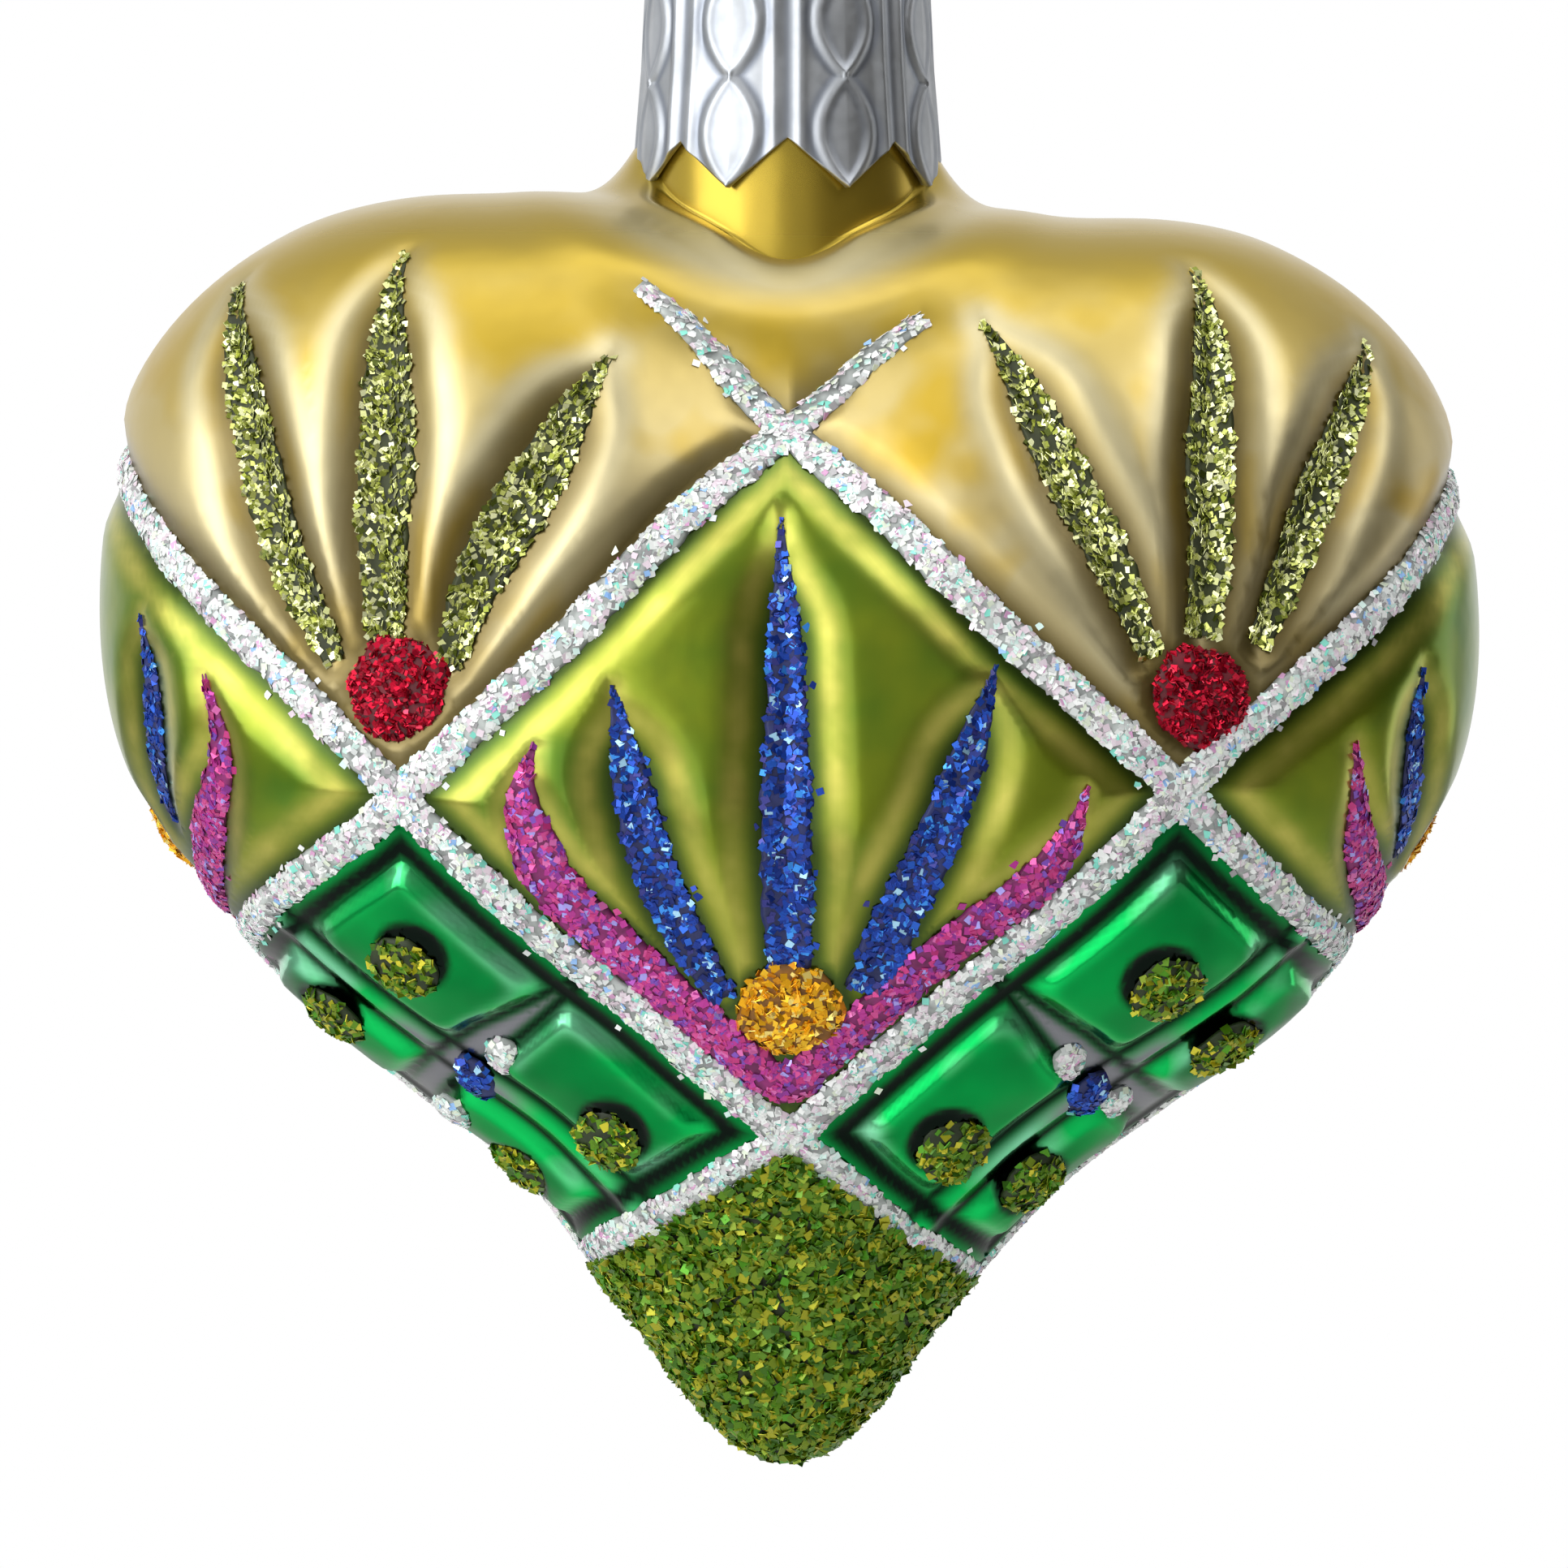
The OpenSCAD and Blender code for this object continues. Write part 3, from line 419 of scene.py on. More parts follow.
# Relief of the glass over the smooth heart: strokes lie in grooves, gold and lime swell between them, panes stand up as blocks
def relief(q):
    pane, roll, paint = heart["pane"], heart["roll"], heart["paint"]
    p = np.column_stack([q[:, 0], -np.abs(q[:, 1]), q[:, 2]])  # the back mirrors the front
    x, z = p[:, 0], p[:, 2]
    away, vee = clearOf(p, marks)
    isGold = z > np.interp(x, upperLine[:, 0], upperLine[:, 2])
    isLime = ~isGold & (z > np.interp(x, lowerLine[:, 0], lowerLine[:, 2]))
    isPane = ~isGold & ~isLime & ~(z < coatEdge(x))
    # panes: gap to the nearest line or bar, distance from the long bar, the cross bar and the wells under the dots
    gap, (well, bar, cross) = away - pane["sill"], np.full((3, len(p)), 9.0)
    for sign, lines in panels.items():
        pick = np.where(isPane & (x * sign > 0))[0]
        inner, under, beside, outer = [clearOf(p[pick], np.column_stack([line, np.zeros((len(line), 2))]))[0] for line in lines]
        bar[pick] = np.abs(inner / (inner + outer) - pane["barPlace"]) * (inner + outer)
        wide = pane["crossFrom"] + pane["crossGrow"] * np.minimum(inner, pane["crossReach"])
        cross[pick] = np.abs(beside / (beside + under) - 0.5) * (beside + under) - wide
        nearest = np.stack([gap[pick], bar[pick] - pane["barHalf"], cross[pick]])
        gap[pick] = -pane["soft"] * np.log(np.exp(-nearest / pane["soft"]).sum(0))  # a soft least rounds the corners
    for dots in (faceDots["left_window_dots"], faceDots["right_window_dots"]):
        for stop in dots["stops"]:
            c = stopPoint([stop[0] - pane["wellIn"] * np.sign(stop[0]), *stop[1:-1], stop[-1] + pane["wellUp"]])
            well = np.minimum(well, np.linalg.norm(p - c, axis=1) - dots["radius"] - pane["wellGrow"])
    out = np.maximum(away, 0)
    paneLift = pane["rise"] * ease(gap / pane["bevel"]) + pane["dome"] * ease(gap / pane["domeRun"]) \
        - pane["well"] * ease(-well / pane["wellRun"]) + pane["lip"] * bell(away, *pane["lipAt"]) \
        + pane["bar"] * bell(bar, 0, pane["barWide"]) * ease(cross / pane["crossRun"])
    rise = np.where(isPane, paneLift, 0)
    rise = np.where(isGold, pillow(out, heart["gold"]), np.where(isLime, pillow(out, heart["lime"]), rise))
    beyond = (np.hypot(x, p[:, 1]) - heart["shoulder"]) / heart["fadeRun"]
    fade = ease(beyond + 2 * ease((heart["fadeBelow"] - z) / heart["fadeFall"]))
    # the roll hangs in a curve below the neck and falls off slowly above its middle
    over = (z - roll["z"] - roll["bend"] * x ** 2) / roll["tall"]
    middle = bell(x, 0, roll["wide"])
    swelling = bell(over, 0, np.where(over > 0, roll["above"], 1)) * middle
    lift = (heart["low"] + rise + vee * np.minimum(away, 0)) * fade + roll["rise"] * swelling
    field = np.where(isGold, 0, np.where(isLime, 1, 2))
    # painted shade lies dark in the grooves, in bands beside the pane lines, along the bars and in the wells under the
    # dots, partly where lacquer gathers; ridge is a painted highlight on the roll's crest, beside the fan rays on the
    # gold, beside the grooves on the lime and on the pane bevels and bars, partly where lacquer runs thin; bare is
    # where the bars cross unpainted
    dark = np.stack([ease(away / 0.8) * ease((2 - away) / 0.8), bell(bar, *paint["barShade"]),
                     bell(cross, *paint["crossShade"]), ease(0.5 - well / 0.5)]).max(0)
    groove = bell(out, 0, np.where(isGold, paint["goldGroove"], paint["limeGroove"])) * ease(1 + away)
    pool = np.where(isPane, dark, groove) * fade
    streak = paint["streak"] * bell(clearOf(p, fanMarks)[0], *paint["streakAt"]) * ease((out - 0.4) / 0.9) * ease((27 - z) / 5)
    goldHighlight = np.maximum(bell(over, *roll["crest"]) * middle, streak)
    paneHighlight = np.maximum(bell(gap, *paint["bevelShine"]), bell(bar, *paint["barShine"]))
    ridge = np.where(isPane, paneHighlight, np.where(isGold, goldHighlight, bell(out, *paint["limeRidge"])))
    silver = np.maximum(ease((-cross - 0.1) / 0.5), bell(bar, *paint["bareBar"]) * ease((4.5 - cross) / 3))
    return lift, field, pool, ridge, np.where(isPane, silver, 0)


# Lacquers. Blown glass silvered inside and painted outside, so each colour shines like tinted metal
# Gold: hand-sprayed and satin, with deeper yellow blotches about 7 mm across and slow ripples 4 mm apart
gold, add, coords, ridge, pool = newMaterial("satin gold lacquer on silvered glass", "ridge", "pool")
blotch = add("TexNoise", {"Scale": 140.0}, {"Vector": coords})
tint = add("ValToRGB", {"stops": [(0.5, "#c2b383"), (0.58, "#bca356"), (0.67, "#b9981e")]}, {"Fac": blotch})
# the lobes' tops are yellower, and on the neck the coat is thin and glossier
height = add("SeparateXYZ", {}, {0: coords}).outputs["Z"]
tops, bottle = (add("MapRange", {"From Min": (heartZ + low) * mm, "From Max": (heartZ + high) * mm}, {"Value": height})
                for low, high in ((12, 25), (24, 27)))
# pale cream is a painted highlight on the roll's crest and beside the fan rays; dark olive is painted shade in the
# grooves, partly lacquer gathered there
for code, part in (("#b0962a", tops), ("#c6bb92", ridge), ("#645628", pool)):
    tint = add("Mix", {"data_type": "RGBA", 7: code}, {0: part, 6: tint}).outputs[2]
grain = add("TexNoise", {"Scale": 650.0}, {"Vector": coords})
satin = add("MapRange", {"To Min": 0.32, "To Max": 0.46}, {"Value": grain})
rough = add("Mix", {3: 0.27}, {0: bottle, 2: satin})
ripple = add("TexNoise", {"Scale": 250.0}, {"Vector": coords})
bump = add("Bump", {"Strength": 0.2, "Distance": 0.0003}, {"Height": ripple})
surface(add, {"Metallic": 0.85, "Coat Weight": 0.4, "Coat Roughness": 0.28},
        {"Base Color": tint, "Roughness": rough, "Normal": bump})

# Lime: thinner lacquer; a painted yellow highlight on the ridges, patchy and partly lacquer worn thin there, and
# painted shade of deep green in the grooves, partly lacquer pooled there
lime, add, coords, ridge, pool = newMaterial("satin lime lacquer on silvered glass", "ridge", "pool")
cloud = add("TexNoise", {"Scale": 120.0, "Detail": 3.0}, {"Vector": coords})
tint = add("ValToRGB", {"stops": [(0.38, "#7a8a10"), (0.62, "#4e740a")]}, {"Fac": cloud})
sheenAndWear = add("TexNoise", {"Scale": 420.0}, {"Vector": coords})
sheenAndWear = add("MapRange", {"From Min": 0.35, "From Max": 0.65, "To Min": 0.5}, {"Value": sheenAndWear})
sheenAndWear = add("Math", {"operation": "MULTIPLY"}, {0: ridge, 1: sheenAndWear})
for code, part in (("#b4ae4c", sheenAndWear), ("#2f440a", pool)):
    tint = add("Mix", {"data_type": "RGBA", 7: code}, {0: part, 6: tint}).outputs[2]
ripple = add("TexNoise", {"Scale": 300.0}, {"Vector": coords})
bump = add("Bump", {"Strength": 0.2, "Distance": 0.0003}, {"Height": ripple})
surface(add, {"Metallic": 0.88, "Roughness": 0.28, "Coat Weight": 0.3, "Coat Roughness": 0.2},
        {"Base Color": tint, "Normal": bump})

# Emerald: clear glossy lacquer, with painted shade near black in the bars, beside the lines and round the dots, a
# painted highlight bright along the bevels, partly thin lacquer, and silver where it was left off
emerald, add, coords, ridge, pool, bare = newMaterial("clear emerald lacquer on silvered glass", "ridge", "pool", "bare")
runs = add("TexNoise", {"Scale": 160.0}, {"Vector": coords})
tint = add("ValToRGB", {"stops": [(0.36, "#009a44"), (0.64, "#007433")]}, {"Fac": runs})
pale = add("ValToRGB", {"stops": [(0.5, "#0cc45c"), (0.66, "#86dcae")]}, {"Fac": runs})
tint = add("Mix", {"data_type": "RGBA"}, {0: ridge, 6: tint, 7: pale}).outputs[2]
for code, part in (("#85868c", bare), ("#05120b", pool)):
    tint = add("Mix", {"data_type": "RGBA", 7: code}, {0: part, 6: tint}).outputs[2]
surface(add, {"Metallic": 0.95, "Roughness": 0.2, "Coat Weight": 0.05, "Coat Roughness": 0.05}, {"Base Color": tint})

# Silver mirror coat inside the glass, faintly clouded; seen only down the bore
silvering, add, coords = newMaterial("silver mirror coat inside the glass")
cloud = add("TexNoise", {"Scale": 200.0, "Detail": 3.0}, {"Vector": coords})
tint = add("ValToRGB", {"stops": [(0.35, "#d0cfcb"), (0.7, "#a9a59c")]}, {"Fac": cloud})
surface(add, {"Metallic": 1.0, "Roughness": 0.22}, {"Base Color": tint})
print("lacquers mixed")


# Skin of the heart: rays from its centre, by turn and tilt, up to the shoulder round the neck
def skinGrid(turns, shares, off, shoulder):
    turn = fullTurn(turns)
    tilt = lastTilt(turn, np.radians(95), np.radians(178), 26, lambda q: np.hypot(q[:, 0], q[:, 1]) > shoulder, off)
    return turn, onRay(aim(turn, tilt * shares[:, None]), off)


# Sweep to the neck: a cubic on past the shoulder, over a brow at front and back, in a flare at the sides, to the neck's foot
def neckSweep(rows, turn, neck):
    side = np.cos(turn) ** neck["sharp"]
    front = 1 - side
    past = rows[-1] + neck["lead"] * (1 + front)[:, None] * unit(rows[-1] - rows[-2])
    ledge = ringPoints(neck["collar"] + neck["browOut"] * front + neck["flare"] * side, turn,
                       past[:, 2] + neck["brow"] * front + neck["flareLift"] * side)
    foot = ringPoints(neck["collar"], turn, past[:, 2] + neck["browClimb"] * front + neck["climb"] * side)
    t = np.linspace(0, 1, neck["rows"] + 1)[1:, None, None]
    return (1 - t) ** 3 * rows[-1] + 3 * t * (1 - t) ** 2 * past + 3 * t * t * (1 - t) * ledge + t ** 3 * foot


shares = np.interp(np.arange(heart["rowsTo"][-1] + 1), heart["rowsTo"], heart["rowShare"])  # rows lie closest over the panes
turn, body = skinGrid(heart["turns"], shares, 0.0, heart["shoulder"])
skin = body.reshape(-1, 3)
lift, field, pool, ridge, bare = relief(skin)
skin = skin + outDir(skin) * lift[:, None]
neck, top = heart["neck"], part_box("glass_heart")[1].z / mm - heartZ
root, bore = neck["root"], neck["bore"]
sweep = neckSweep(skin.reshape(body.shape), turn, neck)
pipe = spun([(7.85, root + 2), (7.55, root + 6), (7.1, top - 0.5), (7.0, top - 0.2), (6.75, top), (6.4, top),
             (6.15, top - 0.2), (bore, top - 0.6), (bore, root + 3), (bore, root - 1)], turn)
wall = sweep[-1] + (pipe[0] - sweep[-1]) * np.array([0.06, 0.3, 0.6])[:, None, None]  # straight up from the foot
neckRows = np.vstack([sweep, wall, pipe])
none, sweepSheen = np.zeros(neckRows.size // 3), np.zeros(neckRows.shape[:2])
# the painted highlight on the roll's crest runs on up the sweep and fades out
sweepSheen[:len(sweep)] = ridge[-heart["turns"]:] * np.linspace(1, 0, len(sweep))[:, None]  # the pale crest runs out on the sweep
tris = splitQuads(ringQuads(len(shares) + len(neckRows), heart["turns"]), np.append(lift + 0.6 * pool, none))
kinds = np.sort(np.append(field, none.astype(int))[tris], axis=1)[:, 1]
numbers = {"pool": np.append(pool, none), "ridge": np.append(ridge, sweepSheen), "bare": np.append(bare, none)}
glass = buildPiece("lacqueredGlassHeart", toRow(np.vstack([skin, neckRows.reshape(-1, 3)])), [tris],
                   [gold, lime, emerald], [kinds], numbers=numbers)
settle(glass, "heart", "lacquered_glass", "glass_heart")

# Lining: the same skin drawn in, then led up inside the brow to the bore
inlay = {"rows": 44, "cols": 72, "in": 1.6}
around, body = skinGrid(inlay["cols"], np.linspace(0.002, 1, inlay["rows"]), -inlay["in"], heart["shoulder"] - inlay["in"])
low = body[-1, :, 2]
lead = [(bore + 0.7, low + 0.8), (bore, np.minimum(low + 2.5, root - 1.5)), (bore, root - 1)]
body = np.vstack([body, [ringPoints(r, around, z) for r, z in lead]])
lining = buildPiece("silverLining", toRow(body.reshape(-1, 3)), [ringQuads(len(body), inlay["cols"])[:, ::-1]], [silvering])
settle(lining, "heart", "lacquered_glass")
print("heart skinned,", len(tris), "triangles")

# Glitter: square flakes cut from film in tinted glue; each kind has its glue, size in mm, cover in layers, lean of a flake
# off the bead, metal, roughness, share of strays, slot and the colours of its flakes
glitter = {
    "white": ("#b9bfbc", 0.36, 1.9, 0.16, 0.1, 0.25, 0.008, "white_glitter", [
        (0, "#dfe2e0"), (0.17, "#ced2d1"), (0.31, "#ecefed"), (0.44, "#9c9a9c"), (0.53, "#d8c8d2"), (0.63, "#cfe8e1"),
        (0.73, "#e4d6e0"), (0.79, "#dfe9d4"), (0.85, "#82d8c6"), (0.9, "#cf9cc2"), (0.93, "#8fb8ea"), (0.957, "#f8f9f8")]),
    "blue": ("#222c66", 0.38, 1.7, 0.18, 0.65, 0.24, 0.008, "blue_glitter", [
        (0, "#15348c"), (0.28, "#1c46ae"), (0.48, "#17276c"), (0.6, "#2860cc"), (0.77, "#3a3c86"), (0.87, "#3c92ec"),
        (0.95, "#a8d8f4")]),
    "pink": ("#8c206c", 0.38, 1.7, 0.18, 0.4, 0.24, 0.008, "pink_glitter", [
        (0, "#b43290"), (0.27, "#bf347c"), (0.46, "#8a2e90"), (0.6, "#cc488e"), (0.74, "#7c4cb4"), (0.85, "#d468ac"),
        (0.94, "#a89eea")]),
    "goldGreen": ("#333a10", 0.34, 1.8, 0.3, 0.75, 0.26, 0.0, "gold_green_glitter", [
        (0, "#b4ba62"), (0.26, "#7a822c"), (0.42, "#d2d692"), (0.66, "#4a5416"), (0.76, "#eceeb8")]),
    "red": ("#6c0a1c", 0.32, 2.0, 0.45, 0.9, 0.3, 0.0, "red_glitter", [
        (0, "#a00626"), (0.4, "#6e0418"), (0.65, "#bc0e2e"), (0.94, "#d83c54")]),
    "gold": ("#8f5c10", 0.42, 1.9, 0.42, 0.7, 0.25, 0.0, "gold_glitter", [
        (0, "#eaaa10"), (0.4, "#c07e08"), (0.6, "#f4c02c"), (0.88, "#fae07c")]),
    "olive": ("#24340a", 0.45, 1.9, 0.45, 0.55, 0.3, 0.0, "olive_glitter", [
        (0, "#56800e"), (0.28, "#748a14"), (0.5, "#3a660c"), (0.66, "#a2a21a"), (0.82, "#4e9214"), (0.91, "#d0c832")]),
}
keys = ("glue", "size", "cover", "tilt", "metallic", "rough", "stray", "slot", "stops")
glitter = {kind: dict(zip(keys, row)) for kind, row in glitter.items()}
for kind, look in glitter.items():
    # glue: clear craft glue tinted by the flakes in it, cloudy at about 1 mm
    look["glueMaterial"], add, coords = newMaterial(kind + " glitter glue")
    cloud = add("TexNoise", {"Scale": 1000.0}, {"Vector": coords})
    dark = "#%02x%02x%02x" % tuple(int(int(look["glue"][i:i + 2], 16) * 0.7) for i in (1, 3, 5))
    tint = add("ValToRGB", {"stops": [(0.35, dark), (0.65, look["glue"])]}, {"Fac": cloud})
    surface(add, {"Roughness": 0.6, "IOR": 1.48}, {"Base Color": tint})
    # flakes: each one even colour, picked by the number it carries
    look["flakeMaterial"], add, _, glint = newMaterial(kind + " cut film glitter", "glint")
    tint = add("ValToRGB", {"stops": look["stops"]}, {"Fac": glint})
    tint.color_ramp.interpolation = "CONSTANT"
    surface(add, {"Metallic": look["metallic"], "Roughness": look["rough"], "Coat Weight": 0.08, "Coat Roughness": 0.1},
            {"Base Color": tint})

bead = {"sink": 0.12, "film": 0.02, "flakeHalf": 0.015, "narrow": 0.8, "around": 10}  # how glue and flakes lie, in mm


# Flakes: thin square plates, each turned by chance about a normal that leans by chance
def flakePlates(points, normals, look):
    count = len(points)
    size = look["size"] * rng.uniform(0.8, 1.15, (count, 1)) / 2
    n = unit(normals + look["tilt"] * rng.normal(size=(count, 3)))
    u = unit(np.cross(n, rng.normal(size=(count, 3))))
    v = np.cross(n, u)
    corners = [points + size * (a * u + b * v) + c * bead["flakeHalf"] * n
               for c in (-1, 1) for a, b in ((-1, -1), (1, -1), (1, 1), (-1, 1))]
    box = np.array([[3, 2, 1, 0], [4, 5, 6, 7], [0, 1, 5, 4], [1, 2, 6, 5], [2, 3, 7, 6], [3, 0, 4, 7]])
    quads = (np.arange(count)[:, None, None] * 8 + box).reshape(-1, 4)
    return np.stack(corners, axis=1).reshape(-1, 3), quads, np.repeat(rng.random(count), 8)


def onGlass(q, height):
    return q + outDir(q) * (relief(q)[0] + height)[:, None]


# Two fans of triangles that close a grid: the point first with its first ring, the point last with the ring at start
def closingFans(first, last, start, cols):
    k = np.arange(cols)
    after = (k + 1) % cols
    return np.vstack([np.stack([np.full(cols, first), after, k], 1),
                      np.stack([np.full(cols, last), start + k, start + after], 1)])


# Bead of a stroke: a low arch across the groove, ragged at both edges, closed underneath and at its ends
def beadParts(stroke):
    path, half, tall, look = stroke["path"], stroke["half"], stroke["tall"], glitter[stroke["kind"]]
    count, cols = len(path), bead["around"]
    t = np.linspace(0, stroke["length"], count)
    rag = [1 + sum(rng.uniform(0.02, 0.05) * np.sin(t * f + rng.uniform(0, 6.3)) for f in (0.9, 1.9, 3.1, 4.7)) for _ in (0, 1)]
    edges = np.stack([half * rag[0], half * rag[1]])
    side = np.cross(unit(np.gradient(path, axis=0)), outDir(path))
    u = np.array([-1, -0.8, -0.5, 0, 0.5, 0.8, 1, 0.6, 0, -0.6])
    arch = np.append(tall * np.sqrt(1 - u[:7] ** 2) + bead["film"], [-bead["sink"]] * 3)
    reach = np.where(u > 0, u * edges[0][:, None], u * edges[1][:, None])
    q = project((path[:, None] + side[:, None] * reach[..., None]).reshape(-1, 3))
    thin = np.minimum(1, half / bead["narrow"])[:, None]
    verts = onGlass(q, (arch * np.where(arch > 0, thin, 1)).ravel())
    ends = verts.reshape(count, cols, 3)[[0, -1]].mean(1)
    # flakes: spread by the stroke's width, a few of them fallen beside it
    many = int(stroke["length"] * 2 * half.mean() * look["cover"] / look["size"] ** 2)
    where = np.clip(rng.choice(count, many, p=half / half.sum()) + rng.random(many) - 0.5, 0, count - 1)
    at = lambda values: np.stack([np.interp(where, np.arange(count), c) for c in np.atleast_2d(values.T)], axis=1)
    across = rng.uniform(-1.02, 1.02, many)
    stray = rng.random(many) < look["stray"]
    across = np.where(stray, np.sign(across) * rng.uniform(1.1, 1.6, many), across)
    wide = np.where(across > 0, at(edges[0])[:, 0], at(edges[1])[:, 0])
    sideways = unit(at(side))
    q = project(at(path) + sideways * (across * wide)[:, None])
    crown = np.sqrt(np.maximum(0, 1 - across ** 2))
    points = onGlass(q, np.where(stray, 0.03, tall * crown * np.minimum(1, wide / bead["narrow"]) + 0.04))
    steep = tall / wide * across / np.sqrt(np.maximum(0.1, 1 - across ** 2))
    slope = np.where(stray, 0, stroke.get("lean", stroke["vee"]) * np.sign(across) - steep)
    normals = unit(outDir(q) - sideways * slope[:, None])
    return {"verts": np.vstack([verts, ends]), "quads": ringQuads(count, cols),
            "tris": closingFans(len(verts), len(verts) + 1, (count - 1) * cols, cols),
            "flakes": flakePlates(points, normals, look)}


# Dot: a low dome with a ragged rim, bent down with the glass, flakes spread evenly over it
def dotParts(dot, stop):
    look, rows, cols, radius, tall, bend = glitter[dot["kind"]], 6, 28, dot["radius"], dot["tall"], 60
    centre = stopPoint(stop)
    up = outDir(centre[None])[0]
    u = unit(np.cross([0.0, 0.0, 1.0], up))
    v = np.cross(up, u) * dot["stretch"]
    spoke = lambda a: np.cos(a)[:, None] * u + np.sin(a)[:, None] * v
    turn = fullTurn(cols)
    rag = 1 + sum(0.03 * np.sin(f * turn + rng.uniform(0, 6.3)) for f in (2, 3, 5, 7))
    slope = np.linspace(0, np.pi / 2, rows, endpoint=False)
    out = (np.cos(slope)[:, None] * rag * radius)[..., None] * spoke(turn)
    flat = centre + np.vstack([out[:1], out]).reshape(-1, 3)
    base = relief(centre[None])[0][0]
    high = np.repeat(np.append(-bead["sink"], np.sin(slope) * tall + 0.03), cols)
    verts = flat + up * (base + high - np.linalg.norm(flat - centre, axis=1) ** 2 / bend)[:, None]
    verts = np.vstack([verts, [centre + up * (base + tall + 0.03), centre + up * (base - 0.2)]])
    many = int(np.pi * radius ** 2 * dot["stretch"] * look["cover"] * 1.1 / look["size"] ** 2)
    r, a = np.sqrt(rng.random(many)) * 1.03, rng.uniform(0, 2 * np.pi, many)
    reach = r * np.interp(a, np.append(turn, 2 * np.pi), np.append(rag, rag[0])) * radius
    crown = np.sqrt(np.maximum(0, 1 - r ** 2))
    points = centre + spoke(a) * reach[:, None] + up * (base + crown * tall + 0.05 - reach ** 2 / bend)[:, None]
    normals = unit(spoke(a) * (r / radius)[:, None] + up * ((crown + 0.15) / tall)[:, None])
    last = (rows + 1) * cols
    return {"verts": verts, "quads": ringQuads(rows + 1, cols), "tris": closingFans(last + 1, last, rows * cols, cols),
            "flakes": flakePlates(points, normals, look)}


# One piece from its beads or dots: glue in the first slot, flakes in the second; side -1 mirrors it to the back
def glitterPiece(node, parts, kind, side=1):
    verts, quads, tris, flat, glint, first = [], [], [], [], [], 0
    for p in parts:
        turned = facing(p["verts"], p["quads"]) + facing(p["verts"], p["tris"]) < 0
        way = -1 if turned != (side < 0) else 1
        quads.append(first + p["quads"][:, ::way])
        tris.append(first + p["tris"][:, ::way])
        plates, faces, number = p["flakes"]
        flat.append(first + len(p["verts"]) + faces[:, ::side])
        first += len(p["verts"]) + len(plates)
        verts += [p["verts"], plates]
        glint += [np.zeros(len(p["verts"])), number]
    look = glitter[kind]
    piece = buildPiece(node + "_glitter", toRow(np.vstack(verts) * [1, side, 1]),
                       [np.vstack(quads), np.vstack(tris), np.vstack(flat)],
                       [look["glueMaterial"], look["flakeMaterial"]], [0, 0, 1], [True, True, False],
                       {"glint": np.concatenate(glint)})
    settle(piece, "heart", look["slot"], node)


# Strokes and then dots, one piece for each
def layGlitter(word, strokes, dots, side=1):
    for name, stroke in strokes.items():
        glitterPiece(word + name, [beadParts(stroke)], stroke["kind"], side)
    for name, dot in dots.items():
        glitterPiece(word + name, [dotParts(dot, s) for s in dot["stops"]], dot["kind"], side)


for side, word in ((1, "front_"), (-1, "back_")):
    glitterPiece(word + "lattice", [beadParts(s) for s in latticeStrokes], "white", side)
    layGlitter(word, faceStrokes, faceDots, side)
layGlitter("", sideStrokes, sideDots)
print("glitter laid")

# Tip coat: a skin of glue over the tip, coarse flakes all over it, fewer of the brightest than in the dots
coat = {"rows": 30, "cols": 96, "out": -0.3, "under": -0.8, "flakes": 9500, "size": 0.5, "tilt": 0.42, "pile": 0.3, "glint": 0.88}
turn = fullTurn(coat["cols"])
tilt = lastTilt(turn, 0.03, 1.3, 24, lambda q: q[:, 2] < coatEdge(q[:, 0]))
share = np.linspace(0.01, 1, coat["rows"])[:, None]
upper, under = (onRay(aim(turn, tilt * share), coat[k]) for k in ("out", "under"))
beside = np.roll(upper, -1, axis=1)
area = np.linalg.norm(np.cross(upper[1:] - upper[:-1], beside[:-1] - upper[:-1]), axis=-1).ravel()
i, j = np.divmod(rng.choice(area.size, coat["flakes"], p=area / area.sum()), coat["cols"])
a, b = rng.random((2, coat["flakes"], 1))
points = (upper[i, j] * (1 - a) + upper[i + 1, j] * a) * (1 - b) + (beside[i, j] * (1 - a) + beside[i + 1, j] * a) * b
normals = outDir(points)
points = points + normals * rng.uniform(0, coat["pile"], (len(points), 1))
look = {**glitter["olive"], "size": coat["size"], "tilt": coat["tilt"]}
plates, faces, number = flakePlates(points, normals, look)
shell = np.vstack([upper, under[::-1]]).reshape(-1, 3)
shellQuads = outward(shell, ringQuads(2 * coat["rows"], coat["cols"]))
glint = np.append(np.zeros(len(shell)), number * coat["glint"])
tip = buildPiece("tip_coat_glitter", toRow(np.vstack([shell, plates])), [shellQuads, faces + len(shell)],
                 [look["glueMaterial"], look["flakeMaterial"]], [0, 1], [True, False], {"glint": glint})
settle(tip, "heart", look["slot"], "tip_coat")
print("tip coated")

# Aluminium sheet, stamped: bright on the ridges, a darker bluish grey in the hollows; scratches about 0.5 mm apart
sheet, add, coords, pool = newMaterial("stamped bright aluminium sheet", "pool")
dull = add("TexNoise", {"Scale": 300.0, "Detail": 4.0}, {"Vector": coords})
tint = add("ValToRGB", {"stops": [(0.35, "#b6b9bd"), (0.7, "#9c9fa2")]}, {"Fac": dull})
tint = add("Mix", {"data_type": "RGBA", 7: "#8b9099"}, {0: pool, 6: tint}).outputs[2]
scratch = add("TexNoise", {"Scale": 2000.0}, {"Vector": coords})
rough = add("MapRange", {"To Min": 0.34, "To Max": 0.5}, {"Value": scratch})
surface(add, {"Metallic": 1.0}, {"Base Color": tint, "Roughness": rough})

